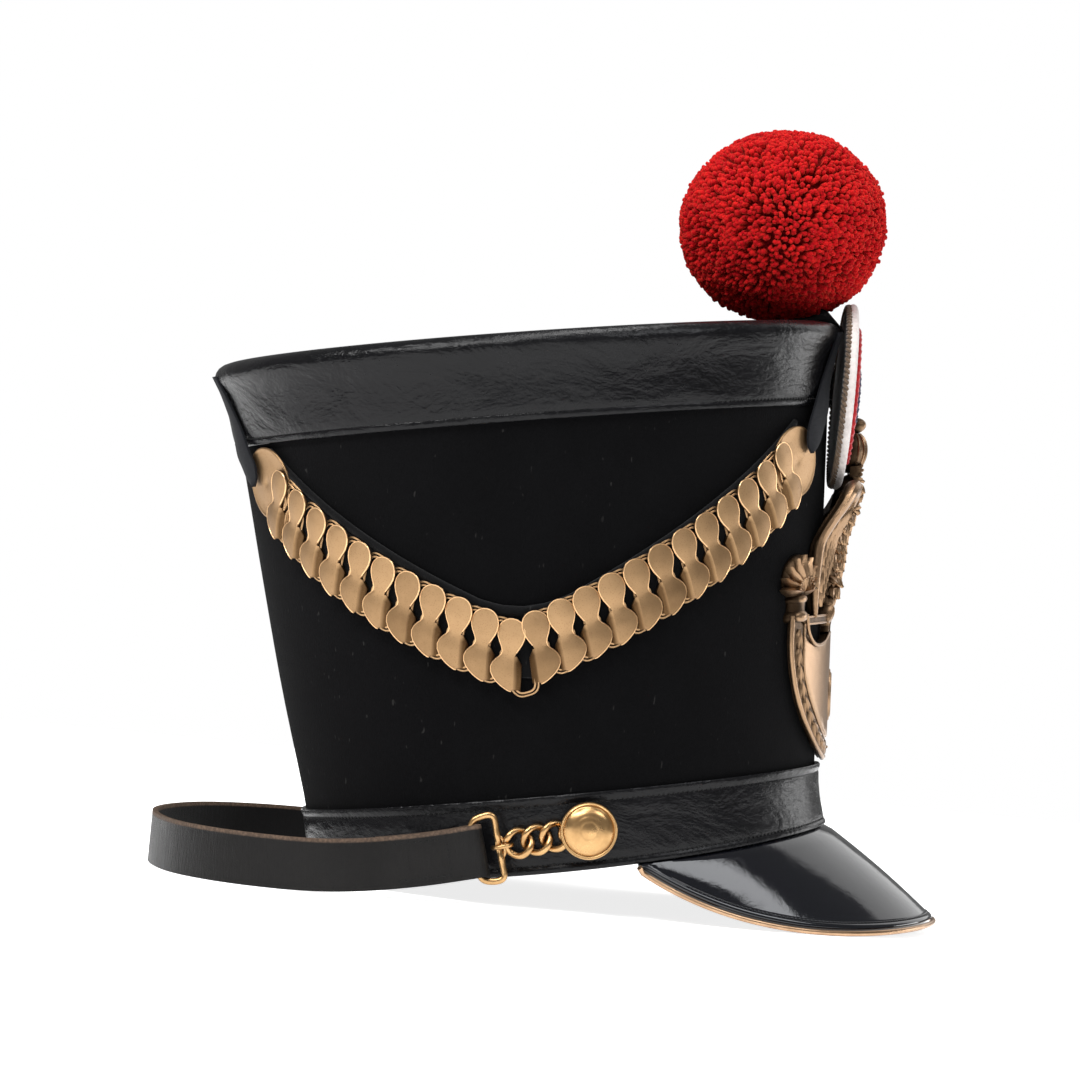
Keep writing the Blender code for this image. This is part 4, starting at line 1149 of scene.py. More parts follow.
def make_ribbon(side, hand, end, stops):
    """A tape from the rim that widens to a pointed tip over the plate."""
    line = smooth_through(stops, 8)

    def place(u, v):
        angle, level, proud, width = line[round(u * (len(line) - 1))]
        half_width = max(0.3, width)
        across, rise = rounded_section(v, half_width, RIBBON_THICK / 2)
        arch = 0.7 * MM * (1 - (across / half_width) ** 2)
        return beside((math.radians(angle), level * MM), across * MM, 0,
                      proud * MM + RIBBON_THICK / 2 + rise + arch, hand)

    bm = grid_surface(len(line) - 1, 24, place, closed_rows=True)
    new_piece(f"black_ribbon_{side}_{end}", bm, RIBBON, [f"ribbon_{side}_{end}"])


# ------------------------------------------------------------------ button, curb chain, buckle

BUTTON_PROFILE = (
    (0, 10.2), (2.6, 10.12), (3.0, 9.98), (3.4, 10.02), (5.7, 9.62), (6.1, 9.4), (6.5, 9.38), (8.0, 8.65),
    (9.0, 7.85), (9.5, 7.2), (9.75, 7.12), (10.0, 7.5), (10.25, 7.62), (10.5, 7.45), (10.7, 7.5),
    (11.0, 7.45), (11.25, 7.1), (11.3, 6.7), (11.1, 6.35), (10.8, 6.3), (1.6, 6.3), (1.6, 0), (0, 0),
)


def make_button(side, hand):
    angle, level = BUTTON_PLACE
    foot = wall_point(hand * angle, level, 2.0 * MM + GAP)
    away = wall_normal(hand * angle, level)
    place = Matrix.Translation(foot) @ away.to_track_quat("Z", "Y").to_matrix().to_4x4()
    new_piece(f"brass_button_{side}", turned(BUTTON_PROFILE, 96, place), BRIGHT_BRASS,
              [f"button_{side}"])


def chain_frame(hand):
    """The chain's start at the button's shank, in world axes, with its three directions."""
    angle, level = BUTTON_PLACE
    start = HAT_TO_WORLD @ wall_point(hand * angle, level, 2.0 * MM + CHAIN_HEIGHT)
    along = Vector((-hand * math.sin(CHAIN_YAW), math.cos(CHAIN_YAW), 0)) * math.cos(CHAIN_SLOPE)
    along.z = -math.sin(CHAIN_SLOPE)
    outside = Vector((-hand * math.cos(CHAIN_YAW), -math.sin(CHAIN_YAW), 0))
    upward = along.cross(outside) * hand
    return start, along, upward, outside


def chain_distances():
    """Distances of the links' centres, the connector and the buckle's front bar from the button."""
    centres = [LINK_HALF_LENGTHS[0] - LINK_WIRE - SHANK_RADIUS - GAP]
    for before, after in zip(LINK_HALF_LENGTHS, LINK_HALF_LENGTHS[1:]):
        centres.append(centres[-1] + before + after - 2 * LINK_WIRE - LINK_PLAY)
    connector = (centres[-1] + LINK_HALF_LENGTHS[-1] - LINK_WIRE - CONNECTOR_WIRE - GAP) + CONNECTOR_RADIUS
    bar = connector + CONNECTOR_RADIUS - CONNECTOR_WIRE - BUCKLE_WIRE - GAP
    return centres, connector, bar


CHAIN_STEPS = 40


def make_chain(side, hand):
    start, along, upward, outside = chain_frame(hand)
    centres, connector, bar = chain_distances()
    for number, (distance, half_length) in enumerate(zip(centres, LINK_HALF_LENGTHS), 1):
        points = []
        for turn in turns(CHAIN_STEPS):
            twist = LINK_TWIST * math.cos(turn)
            sideways = LINK_HALF_WIDTH * math.sin(turn)
            points.append(start + along * (distance + half_length * math.cos(turn))
                          + upward * sideways * math.cos(twist) + outside * sideways * math.sin(twist))
        radii = [LINK_WIRE * (1 + 0.10 * math.sin(turn) ** 2) for turn in turns(CHAIN_STEPS)]
        new_piece(f"brass_link_{side}_{number}", tube(points, radii, True, 4), BRIGHT_BRASS,
                  [f"curb_link_{side}_{number}"], world=True)

    points = [start + along * (connector + CONNECTOR_RADIUS * math.cos(turn))
              + outside * CONNECTOR_RADIUS * math.sin(turn) for turn in turns(CHAIN_STEPS)]
    new_piece(f"brass_connector_{side}", tube(points, CONNECTOR_WIRE, True), BRIGHT_BRASS,
              [f"connector_{side}"], world=True)
    make_buckle(side, start + along * (bar + BUCKLE_LENGTH / 2), along, upward)


# Half a buckle's wire from the middle of its front bar to the middle of its rear bar, as
# (along to the rear, up, wire radius) in millimetres: a lens-shaped eye, an arched end and the hidden bar.
BUCKLE_TOP = ((-4.7, 0, 1.0), (-4.7, 2.2, 1.15), (-4.7, 4.2, 1.45), (-4.7, 7.0, 1.3), (-4.8, 9.6, 1.3),
              (-4.6, 11.4, 1.35), (-3.6, 12.6, 1.4), (-1.8, 13.0, 1.4), (0.4, 12.8, 1.4), (2.6, 12.2, 1.35),
              (4.1, 11.0, 1.3), (4.7, 9.2, 1.3), (4.7, 5, 1.3), (4.7, 0, 1.3))


def make_buckle(side, centre, along, upward):
    lower = [(a, -up, radius) for a, up, radius in reversed(BUCKLE_TOP[1:-1])]
    dense = smooth_through(list(BUCKLE_TOP) + lower, 4, closed=True)
    points = [centre + along * place.x * MM + upward * place.y * MM for place in dense]
    bm = tube(points, [place.z * MM for place in dense], True, 4)
    eye = [centre + along * (-5.3 + 1.5 * math.cos(turn)) * MM + upward * 3.9 * math.sin(turn) * MM
           for turn in turns(24)]
    join(bm, tube(eye, 0.75 * MM, True))
    new_piece(f"brass_buckle_{side}", bm, BRIGHT_BRASS, [f"buckle_{side}"], world=True)


# ------------------------------------------------------------------ chin strap

def strap_middle_line(bar):
    """Plan points from the right buckle's rear bar to the loop's rear, with headings and distances."""
    right = [Vector((-side * MM, BASE_CENTRE_Y + behind * MM)) for side, behind in STRAP_PLAN]
    beyond = Vector((-right[-2].x, right[-2].y))
    points = [point for point in smooth_through([bar.xy] + right + [beyond], STRAP_STEPS) if point.x < GAP]
    headings = [(points[1] - points[0]).normalized()]
    headings += [(after - before).normalized() for before, after in zip(points, points[2:])]
    headings.append(Vector((1, 0)))
    distances = [0.0]
    for before, after in zip(points, points[1:]):
        distances.append(distances[-1] + (after - before).length)
    return list(zip(points, headings, distances))


def strap_stations():
    """Every station of the strap as (centre, towards its outer face, up), right half first; and the station
    where its outer layer leaves the right buckle."""
    start, along, _, _ = chain_frame(1)
    bar = start + along * (chain_distances()[2] + BUCKLE_LENGTH)
    drop = bar.z - STRAP_WIDTH / 2
    sloping_run = 2 * drop / math.tan(CHAIN_SLOPE)
    half_pitch = (STRAP_THICK + GAP) / 2
    turn_radius = BUCKLE_WIRE + STRAP_TURN_PLAY + STRAP_THICK / 2

    def offset(distance):
        return interpolate(half_pitch, turn_radius, math.exp(-(distance / (5 * MM)) ** 2))

    def station(point, side, distance):
        left = min(1.0, max(0.0, 1 - distance / sloping_run))
        slope = math.atan(math.tan(CHAIN_SLOPE) * left)
        height = STRAP_WIDTH / 2 + drop * left ** 2 - min(0.0, distance) * math.tan(CHAIN_SLOPE)
        centre = Vector((point.x, point.y, height))
        return centre, Vector((side.x, side.y, 0)), Vector((0, math.sin(slope), math.cos(slope)))

    line = strap_middle_line(bar)
    stations = []
    for point, heading, distance in reversed(line[1:]):
        if distance < STRAP_FOLD:
            inward = -heading.orthogonal()
            stations.append(station(point + inward * offset(distance), inward, distance))
    first_heading = line[0][1]
    first_inward = -first_heading.orthogonal()
    fold = range(0, 181, 12)
    fold_end = len(stations) + len(fold) - 1
    for turn in fold:
        angle = math.radians(turn)
        away = first_inward * math.cos(angle) - first_heading * math.sin(angle)
        stations.append(station(bar.xy + away * turn_radius, away, -turn_radius * math.sin(angle)))
    for point, heading, distance in line[1:]:
        away = heading.orthogonal()
        stations.append(station(point + away * offset(distance), away, distance))
    mirror = Matrix.Scale(-1, 3, Vector((1, 0, 0)))
    left = [(mirror @ centre, mirror @ side, up) for centre, side, up in reversed(stations[:-1])]
    return stations + left, fold_end


# The box of stitches behind each buckle, as (distance behind the fold, up) in millimetres.
STRAP_STITCHES = ((33, 7.2), (11, 7.2), (11, -7.2), (33, -7.2))


def strap_stitch_path(stations, first):
    """The right-hand box of stitches on the strap's outer face, with its normals."""
    def spot(distance, rise):
        index = first
        while (stations[index + 1][0] - stations[index][0]).length < distance:
            distance -= (stations[index + 1][0] - stations[index][0]).length
            index += 1
        centre, side, up = stations[index]
        heading = (stations[index + 1][0] - centre).normalized()
        return centre + heading * distance + up * rise + side * STRAP_THICK / 2, side

    path = []
    for (start, up), (end, next_up) in zip(STRAP_STITCHES, STRAP_STITCHES[1:]):
        path += [spot(interpolate(start, end, step / 12) * MM, interpolate(up, next_up, step / 12) * MM)
                 for step in range(12)]
    return path


def make_strap():
    stations, fold_end = strap_stations()
    columns = len(stations) - 1
    bm = bmesh.new()
    bmesh.ops.create_grid(bm, x_segments=columns, y_segments=48, size=0.5)
    cut_edge = bm.verts.layers.float.new("cut_edge")
    suede = bm.verts.layers.float.new("suede")
    for vert in bm.verts:
        centre, side, up = stations[round((vert.co.x + 0.5) * columns)]
        rise, depth = rounded_section(vert.co.y + 0.5, STRAP_WIDTH / 2, STRAP_THICK / 2)
        vert.co = centre + up * rise + side * depth
        vert[cut_edge] = smoothstep(0.84, 0.90, 2 * rise / STRAP_WIDTH)
        vert[suede] = smoothstep(-0.5, -0.9, 2 * depth / STRAP_THICK)
    bmesh.ops.remove_doubles(bm, verts=bm.verts, dist=0.002 * MM)
    bmesh.ops.holes_fill(bm, edges=bm.edges)
    new_piece("leather_chin_strap", outward(bm), STRAP_LEATHER, ["chin_strap"], world=True)

    sewing = bmesh.new()
    path = strap_stitch_path(stations, fold_end)
    for hand in (1, -1):
        sides = [(Vector((hand * spot.x, spot.y, spot.z)), Vector((hand * away.x, away.y, away.z)))
                 for spot, away in path]
        join(sewing, stitches(sides, 2.5 * MM, 1.7 * MM, 1.0 * MM, 0.6 * MM))
    new_piece("strap_stitches", sewing, THREAD, world=True)


# ------------------------------------------------------------------ badge, drawn flat as (across, up, depth)

BADGE_LIFT = 9.2 * MM
LIFT_START = 112 * MM
LIFT_END = 136 * MM
LIFT_SLOPE = 0.05
BADGE_SEAT = 0.6 * MM
BADGE_REACH = 117 * MM

SHIELD_ARC = ((52.5, 87), (52.2, 76), (50, 65), (45.5, 54), (38, 43.5), (27, 34.5), (13.5, 29), (0, 27.5))
SHIELD_TOP = ((0, 78.5), (11, 78), (22, 75), (33, 74.5), (40, 79), (43, 87))
BORDER_INNER = ((43.5, 83), (42.5, 68), (38.5, 58), (31.5, 49), (22, 41.5), (11, 37), (0, 35.5))
WING = ((8, 127), (13, 135), (20, 138), (27, 134.5), (33, 125), (37, 110), (37.5, 96), (35, 86), (31.5, 88),
        (27, 97), (21, 103), (14, 106), (8, 106))
WING_BAR = ((9, 129, 2.6), (13, 134, 3.4), (19, 136, 4.2), (25, 133.5, 4.1), (30.5, 126, 3.6),
            (34.5, 115, 3.2), (36.4, 103, 2.7), (36.2, 93, 2.1), (34.8, 85.5, 1.2))
COLUMN = ((0, 84.2), (4.8, 84.2), (6.0, 84.9), (6.5, 86.0), (6.3, 87.3), (5.5, 88.2), (5.0, 88.7),
          (4.9, 90.3), (5.0, 91.9), (5.5, 92.3), (5.9, 93.2), (5.6, 94.2), (4.8, 94.8), (4.2, 95.6),
          (4.6, 96.6), (5.2, 97.2), (4.6, 98.2), (0, 98.4))
COLUMN_MIDDLE = 47.9
COLUMN_RELIEF = 0.86
BAR = ((15, 82.7), (15, 86.3), (44, 86.3), (44, 82.7))
TAIL = ((8, 95), (11, 79), (0, 76.5), (-11, 79), (-8, 95))
CROWN_BAND = ((7, 141), (7.5, 145), (-7.5, 145), (-7, 141))

# Raised rounded forms: half sizes and height in millimetres, and the turn in degrees.
Swell = namedtuple("Swell", "across up half_width half_height relief turn")
BREAST = Swell(0, 113, 12.5, 20, 8.5, 0)
HEAD = Swell(0, 133, 6.4, 9, 6.0, 0)
THIGH = Swell(8.5, 98, 5.6, 9, 6.6, -12)
CROWN_DOME = Swell(0, 150.6, 7.6, 8.2, 6.2, 0)
MIDDLE_SWELLS = (
    BREAST, HEAD, CROWN_DOME,
    Swell(-6.6, 133.6, 4.4, 2.5, 4.8, 8),       # beak and its hook
    Swell(-10.2, 131.6, 1.5, 2.6, 3.6, -10),
    Swell(0, 161.3, 3.0, 3.4, 5.2, 0),          # orb
    Swell(0, 157.0, 2.2, 1.5, 4.2, 0),
)
SIDE_SWELLS = (
    THIGH,
    Swell(11, 90, 2.8, 4.6, 5.4, -8),           # shank
    Swell(12, 85.6, 6.0, 4.4, 5.4, 0),          # the ball in its claws
    Swell(47.9, 102.0, 9.6, 9.2, 4.0, 0),       # body of the shell
)
BOSS = ((7.4, 10.6, 0.7), (6.2, 9.2, 1.2))      # plain oval boss: half sizes and height of its two steps


SLAB_RIM = 0.4 * MM


def slab(outline, low, high):
    """A flat plate with a rounded upper rim, cut closely enough to be bent."""
    bm = bmesh.new()
    face = bm.faces.new([bm.verts.new((across * MM, up * MM, low * MM)) for across, up in outline])
    top = thicken(bm, [face], (0, 0, (high - low) * MM))
    rim = [edge for edge in bm.edges if all(vert in top for vert in edge.verts)]
    round_off(bm, rim, SLAB_RIM, clamp_overlap=False)
    cut_up(bm, (ACROSS, range(-52, 53, 4)), (UP, range(25, 161, 5)))
    return bm


def swell(form):
    bm = ball(4, MM)
    size = Matrix.Diagonal((form.half_width, form.half_height, form.relief, 1))
    turn = Matrix.Rotation(math.radians(form.turn), 4, "Z")
    bm.transform(Matrix.Translation(Vector((form.across, form.up, 0)) * MM) @ turn @ size)
    return bm


def on_swell(form, across, up):
    """The depth of a rounded form at a place, and its slopes there, or nothing beside it."""
    x = (across - form.across) / form.half_width
    y = (up - form.up) / form.half_height
    inside = 1 - x * x - y * y
    if inside < 0.02:
        return None
    depth = form.relief * math.sqrt(inside)
    steep = form.relief ** 2
    return depth, steep * x / (form.half_width * depth), steep * y / (form.half_height * depth)


def leaf():
    """A pointed leaf or feather of unit length along +Y, one unit wide and high, with a midrib."""
    bm = bmesh.new()
    bmesh.ops.create_grid(bm, x_segments=4, y_segments=6, size=1)
    for vert in bm.verts:
        side, share = vert.co.x, (vert.co.y + 1) / 2
        half = 0.5 * math.sin(math.pi * share ** 0.8) ** 0.75
        vein = 0.35 * max(0.0, 1 - 3 * abs(side))
        height = (0.65 * (1 - side * side) + vein) * math.sin(math.pi * min(0.94, 0.1 + share)) ** 0.4
        vert.co = (side * half, share, height)
    border = [edge for edge in bm.edges if edge.is_boundary]
    sunk = bmesh.ops.extrude_edge_only(bm, edges=border)["geom"]
    bmesh.ops.translate(bm, verts=verts_of(sunk), vec=(0, 0, -0.6))
    bmesh.ops.remove_doubles(bm, verts=bm.verts, dist=0.001)
    bmesh.ops.holes_fill(bm, edges=bm.edges)
    return outward(bm)


def leaf_at(across, up, depth, turn, length, width, height, tilt=0.0, bank=0.0):
    """A leaf's place: sizes in millimetres, the turn in degrees from straight up, growing anticlockwise."""
    place = Matrix.Translation(Vector((across, up, depth)) * MM)
    turned_to = Matrix.Rotation(math.radians(turn), 4, "Z")
    lean = Matrix.Rotation(math.radians(tilt), 4, "X") @ Matrix.Rotation(math.radians(bank), 4, "Y")
    return place @ turned_to @ lean @ Matrix.Diagonal((width * MM, length * MM, height * MM, 1))


def heading_of(step):
    """A step's turn in degrees from straight up, growing anticlockwise."""
    return math.degrees(math.atan2(-step.x, step.y))


def along_line(points, count):
    """Evenly spaced (place, heading in degrees) along a line through points."""
    line = [Vector(point) for point in points]
    lengths = [(after - before).length for before, after in zip(line, line[1:])]
    total = sum(lengths)
    spots = []
    for index in range(count):
        due = total * (index + 0.5) / count
        for (before, after), length in zip(zip(line, line[1:]), lengths):
            if due <= length:
                break
            due -= length
        spots.append((before.lerp(after, due / length), heading_of(after - before)))
    return spots


def roll(points, radius, depth):
    """A half-buried round moulding along a line of (across, up) in millimetres."""
    line = [Vector((point.x, point.y, depth)) * MM for point in smooth_through(points, 6)]
    return tube(line, radius if isinstance(radius, list) else radius * MM, False)


def dressed(form, rows, length, width):
    """Feathers in staggered rows over a rounded form, their tips down."""
    places = []
    for row in range(rows):
        up = form.up + form.half_height * (0.86 - 1.72 * row / (rows - 1))
        reach = form.half_width * math.sqrt(max(0.02, 1 - ((up - form.up) / form.half_height) ** 2))
        count = max(2, round(2 * reach / (width * 0.62)))
        for index in range(count):
            across = form.across - reach + 2 * reach * (index + 0.5 * (row % 2) + 0.25) / count
            spot = on_swell(form, across, up)
            if spot:
                depth, slope_x, slope_y = spot
                lean = math.degrees(math.atan(slope_y)) + 9
                bank = -math.degrees(math.atan(slope_x))
                turn = 180 + (across - form.across) / form.half_width * 18
                places.append(leaf_at(across, up, depth - 0.35, turn, length, width, 0.9, lean, bank))
    return places


def wing_feathers():
    """Long feathers under the wing's bar, and four rows of short ones over their roots."""
    places = []
    tips = along_line(((34, 86), (31, 89), (26.5, 97.5), (20.5, 103.5), (13, 106.5), (9, 107)), 8)
    roots = along_line(((34, 118), (30, 124), (25, 129), (19, 131), (13, 130), (10, 127)), 8)
    for index, ((tip, _), (root, _)) in enumerate(zip(tips, roots)):
        reach = tip - root
        places.append(leaf_at(root.x, root.y, 2.4 + 0.25 * index, heading_of(reach), reach.length * 1.02,
                              6.0, 1.7, 0.5))
    for row in range(4):
        share = row / 4
        for index in range(7 - row // 2):
            root, tip = roots[index][0], tips[index][0]
            spot = root.lerp(tip, 0.10 + 0.17 * row)
            places.append(leaf_at(spot.x - 1.4 * (row % 2), spot.y, 4.3 - 0.9 * share, heading_of(tip - root),
                                  10.5, 4.6, 1.5, 2))
    return places


def border_leaves():
    """A chain of laurel leaves down the border, in pairs with a bud between them."""
    middle = [((outer[0] + inner[0]) / 2, (outer[1] + inner[1]) / 2)
              for outer, inner in zip(SHIELD_ARC, ((43.5, 83), (43.2, 75)) + BORDER_INNER[1:])]
    places = []
    for spot, turn in along_line(smooth_through(middle, 5)[:-4], 10):
        for side in (-1, 1):
            places.append(leaf_at(spot.x, spot.y, 2.9, turn + 21 * side, 8.6, 2.9, 1.1))
        places.append(leaf_at(spot.x, spot.y, 3.1, turn, 8.0, 1.6, 1.2))
    return places


def rosette(across, up, depth, petals, length):
    return [leaf_at(across, up, depth, 360 * index / petals, length, length * 0.62, 1.3)
            for index in range(petals)]


def shell_ribs():
    """The shell's fan of ribs, from its hinge."""
    places = []
    for index in range(9):
        turn = 84 - 21 * index
        length = 14.6 - 2.6 * abs(turn / 84) ** 1.5
        places.append(leaf_at(COLUMN_MIDDLE, 96.2, 2.4, turn, length, 4.4, 3.6, 3))
    return places


def claws(across, up):
    return [leaf_at(across + shift, up + 4.2, 3.4, 180 + shift * 3, 8.4, 2.5, 2.6, -8)
            for shift in (-3.6, -1.2, 1.2, 3.6)]


def crown_arches():
    """Arches of the crown, over its dome from the band to the orb."""
    arches = bmesh.new()
    for index in range(7):
        spread = (index - 3) / 3.4
        line = []
        for step in range(9):
            height = -0.78 + 1.66 * step / 8
            across = CROWN_DOME.half_width * spread * math.sqrt(1 - height * height)
            up = CROWN_DOME.up + CROWN_DOME.half_height * height
            line.append(Vector((across, up, on_swell(CROWN_DOME, across, up)[0])) * MM)
        join(arches, tube(line, 0.62 * MM, False, 2))
    return arches


def beads(spots, radius):
    return scatter(ball(1, radius * MM), [Matrix.Translation(Vector(spot) * MM) for spot in spots])


def bend_to_crown(bm):
    """Lay the flat badge on the front of the crown, clear of the cockade."""
    for vert in bm.verts:
        across, up, depth = vert.co
        lift = BADGE_LIFT * smoothstep(LIFT_START, LIFT_END, up) + LIFT_SLOPE * max(0.0, up - LIFT_END)
        level = up * TOP_LEVEL / (TOP_LEVEL - BADGE_REACH * TOP_SINK * math.sqrt(up / TOP_LEVEL))
        vert.co = wall_point(angle_beside(0, level, -across), level, BADGE_SEAT + lift + depth)
    return outward(bm)


def mirrored(line):
    return [(-across, up) for across, up in line]


def make_badge():
    badge = bmesh.new()

    def add(shape, low, high, darkest, brightest):
        """Join a shape, and note how far each point stands out, for the dark that stays in the hollows."""
        def relief(vert):
            return interpolate(darkest, brightest, smoothstep(low * MM, high * MM, vert.co.z))

        join(badge, add_layer(shape, "relief", relief))

    def add_rolls(*rolls):
        for points, radius, depth in rolls:
            add(roll(points, radius, depth), depth - 0.3, depth + radius, 0.3, 0.95)

    def add_swells(forms):
        for form in forms:
            add(swell(form), 0, form.relief, 0.1, 0.6)

    for outline, low, high, darkest, brightest in ((SHIELD_ARC + BORDER_INNER[::-1], 0.6, 2.9, 0.05, 0.30),
                                                   (BAR, 0, 3.2, 0.05, 0.30), (WING, 0, 3.3, 0.0, 0.22)):
        add(slab(outline, low, high), low, high, darkest, brightest)
    bar_radii = [point.z * MM * 0.82 for point in smooth_through(WING_BAR, 6)]
    add(roll(WING_BAR, bar_radii, 3.2), 3, 6, 0.35, 0.95)
    column = turned(COLUMN, 40, Matrix.Rotation(-math.pi / 2, 4, "X"))
    flattened = Matrix.Diagonal((1, 1, COLUMN_RELIEF, 1))
    column.transform(Matrix.Translation((COLUMN_MIDDLE * MM, 0, 0)) @ flattened)
    add(column, 3.6, 5.2, 0.05, 0.95)
    add_rolls((SHIELD_ARC, 1.15, 2.7), (BORDER_INNER, 0.6, 3.0), (((15, 83.1), (44, 83.1)), 0.5, 3.1),
              (((15, 85.9), (44, 85.9)), 0.5, 3.1))
    add_swells(SIDE_SWELLS)
    leaves = wing_feathers() + border_leaves() + shell_ribs() + claws(12, 85.6) + dressed(THIGH, 5, 6.4, 2.8)
    add(scatter(leaf(), leaves), 2.6, 5.4, 0.3, 1.0)
    arc_beads = [(COLUMN_MIDDLE + 5.0 * math.cos(turn), 97.4 + 4.6 * math.sin(turn), 5.9)
                 for turn in (math.pi * step / 8 for step in range(9))]
    add(beads(arc_beads, 0.7), 4.4, 5.4, 0.5, 1.0)
    whole = badge.verts[:] + badge.edges[:] + badge.faces[:]
    bmesh.ops.mirror(badge, geom=whole, matrix=Matrix.Identity(4), merge_dist=0, axis="X")

    top_edge = mirrored(SHIELD_TOP[:0:-1]) + list(SHIELD_TOP)
    field = slab(list(BORDER_INNER) + mirrored(BORDER_INNER[-2::-1]) + top_edge, 0, 2.2)
    for vert in field.verts:
        vert.co.z *= 1 + 0.9 * max(0.0, 1 - (vert.co.x / (46 * MM)) ** 2)
    add(field, 0, 3, 0.3, 0.72)
    for half_width, half_height, high in BOSS:
        outline = [(half_width * math.cos(turn), 53 + half_height * math.sin(turn)) for turn in turns(40)]
        add(slab(outline, 1, 4.0 + high), 3, 5, 0.2, 0.85)
    for outline, high in ((TAIL, 3.4), (CROWN_BAND, 4.8)):
        add(slab(outline, 0, high), 0, high, 0.0, 0.35)
    add_rolls((top_edge, 0.7, 3.6), (((-7.6, 141.4), (7.6, 141.4)), 0.8, 4.6),
              (((-7.8, 144.8), (7.8, 144.8)), 0.7, 4.6))
    add_swells(MIDDLE_SWELLS)
    leaves = dressed(BREAST, 11, 7.0, 3.6) + dressed(HEAD, 6, 4.6, 2.2) + rosette(0, 31.6, 2.8, 8, 3.9)
    leaves += [leaf_at(shift * 0.5, 97, 3.0, 180 + shift * 1.7, 20 - abs(shift) * 0.25, 4.4, 1.8)
               for shift in (-8, -4, 0, 4, 8)]
    add(scatter(leaf(), leaves), 2.8, 9.0, 0.35, 1.0)
    add(crown_arches(), 2.0, 6.4, 0.4, 1.0)
    crown_beads = [(-6.3 + 1.8 * step, 143.1, 5.1) for step in range(8)]
    add(beads(crown_beads + [(-2.6, 135.2, 5.7), (0, 31.6, 4.2)], 0.75), 4.4, 5.8, 0.5, 1.0)
    new_piece("cast_badge", bend_to_crown(badge), BADGE_BRASS, ["badge"])


# ------------------------------------------------------------------ assembly

make_crown()
make_crown_top()
make_bands()
make_peak()
make_pompom()
make_pompom_holder()
make_cockade()
make_badge()
for side_name, side_hand in (("right", 1), ("left", -1)):
    make_chevron(side_name, side_hand)
    make_scales(side_name, side_hand, "rear", REAR_TOP, REAR_LOW, REAR_SCALES, REAR_LEANS, -1)
    make_scales(side_name, side_hand, "front", FRONT_TOP, FRONT_LOW, FRONT_SCALES, FRONT_LEANS, 1)
    make_end_plate(side_name, side_hand, "rear", REAR_PLATE)
    make_end_plate(side_name, side_hand, "front", FRONT_PLATE)
    make_ribbon(side_name, side_hand, "front", FRONT_RIBBON)
    make_ribbon(side_name, side_hand, "rear", REAR_RIBBON)
    make_button(side_name, side_hand)
    make_chain(side_name, side_hand)
make_strap()


# ------------------------------------------------------------------ camera, light and floor

PHOTO_SIZE = 1080
PHOTO_FOCAL = 4563.0            # pixels
PHOTO_AXIS = (540.0, 572.0)     # where the camera's horizontal axis meets the picture
CAMERA_DISTANCE = 1.870
AXIS_POINT = Vector((0, 0.5, 113.3)) * MM       # the hat's point on that axis, in the hat's frame
PHOTO_TILT = math.radians(5.57)                 # how far the hat's own axis leans back in the picture


def make_camera():
    data = bpy.data.cameras.new("camera")
    data.sensor_width = 36.0
    data.lens = 36.0 * PHOTO_FOCAL / PHOTO_SIZE
    data.clip_start = 0.1
    data.clip_end = 30.0
    camera = linked("camera", data)
    right = Vector((0, -math.cos(PHOTO_TILT), -math.sin(PHOTO_TILT)))
    up = Vector((0, -math.sin(PHOTO_TILT), math.cos(PHOTO_TILT)))
    back = right.cross(up)
    pitch = math.atan((PHOTO_AXIS[1] - PHOTO_SIZE / 2) / PHOTO_FOCAL)
    turned_up = up * math.cos(pitch) + back * math.sin(pitch)
    turned_back = back * math.cos(pitch) - up * math.sin(pitch)
    axes = Matrix((right, turned_up, turned_back)).transposed().to_4x4()
    camera.matrix_world = HAT_TO_WORLD @ Matrix.Translation(AXIS_POINT + back * CAMERA_DISTANCE) @ axes
    bpy.context.scene.camera = camera


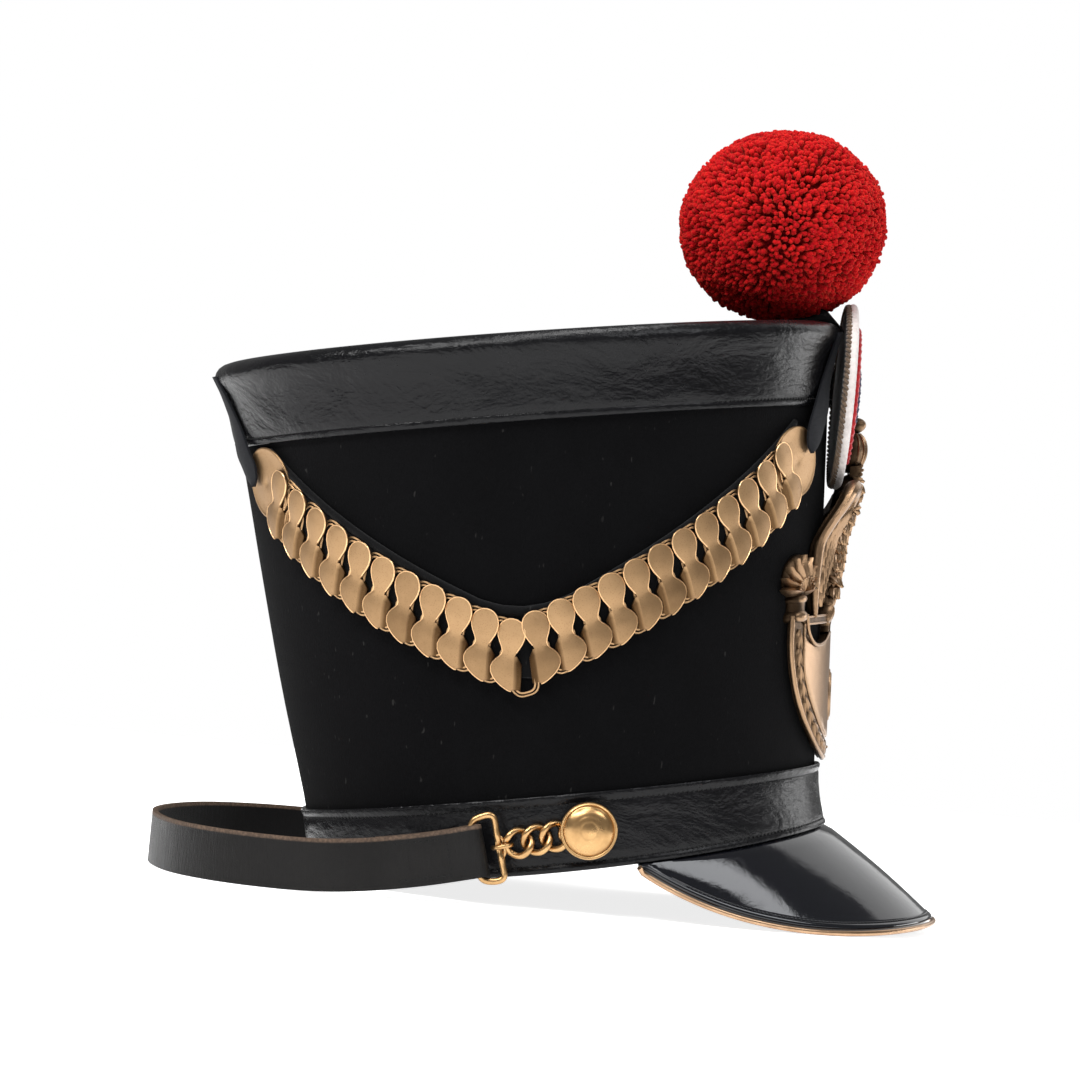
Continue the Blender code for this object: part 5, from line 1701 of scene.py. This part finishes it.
def make_light(name, place, target, size, power, colour=(1, 1, 1)):
    data = bpy.data.lights.new(name, "AREA")
    data.shape = "RECTANGLE"
    data.size, data.size_y = size
    data.energy = power
    data.color = colour
    light = linked(name, data)
    light.visible_camera = False
    aim = (Vector(target) - Vector(place)).to_track_quat("-Z", "Y").to_matrix().to_4x4()
    light.matrix_world = Matrix.Translation(place) @ aim


def make_world():
    """A dim studio, white where the camera sees past the floor."""
    world = bpy.data.worlds.new("studio")
    bpy.context.scene.world = world
    world.use_nodes = True
    tree = world.node_tree
    room = tree.nodes["Background"]
    room.inputs["Color"].default_value = (1, 1, 1, 1)
    room.inputs["Strength"].default_value = 0.22
    paper = tree.nodes.new("ShaderNodeBackground")
    paper.inputs["Color"].default_value = (1, 1, 1, 1)
    paper.inputs["Strength"].default_value = 1.0
    path = tree.nodes.new("ShaderNodeLightPath")
    choice = tree.nodes.new("ShaderNodeMixShader")
    tree.links.new(path.outputs["Is Camera Ray"], choice.inputs[0])
    tree.links.new(room.outputs[0], choice.inputs[1])
    tree.links.new(paper.outputs[0], choice.inputs[2])
    tree.links.new(choice.outputs[0], tree.nodes["World Output"].inputs["Surface"])


def make_floor():
    bm = bmesh.new()
    bmesh.ops.create_grid(bm, x_segments=1, y_segments=1, size=1.15)
    bmesh.ops.translate(bm, verts=bm.verts, vec=(0, 0, -0.2 * MM))
    mesh = as_mesh("floor", bm)
    floor = linked("floor", mesh)
    pale = Finish("pale_floor", Base_Color=(0.85, 0.85, 0.85, 1), Roughness=0.9, Specular_IOR_Level=0.1,
                  Emission_Color=(1, 1, 1, 1), Emission_Strength=0.82)
    mesh.materials.append(pale.material)


make_camera()
make_light("window", (-0.71, -0.76, 1.23), (-0.06, -0.13, 0.03), (0.72, 0.52), 7, (0.95, 0.97, 1.0))
make_light("far", (1.35, -1.04, 1.12), (-0.06, -0.13, 0.03), (1.2, 1.6), 7.5)
make_light("front", (0.75, -1.6, 0.2), (0, -0.1, 0.15), (0.8, 0.6), 7)
make_light("rim", (-0.86, 0.8, 1.2), (0, 0, 0.2), (1.5, 0.3), 24)
make_light("top", (-0.25, 0.1, 1.6), (0, 0, 0.2), (0.45, 1.6), 20)
make_world()
make_floor()
bpy.context.scene.view_settings.view_transform = "Standard"
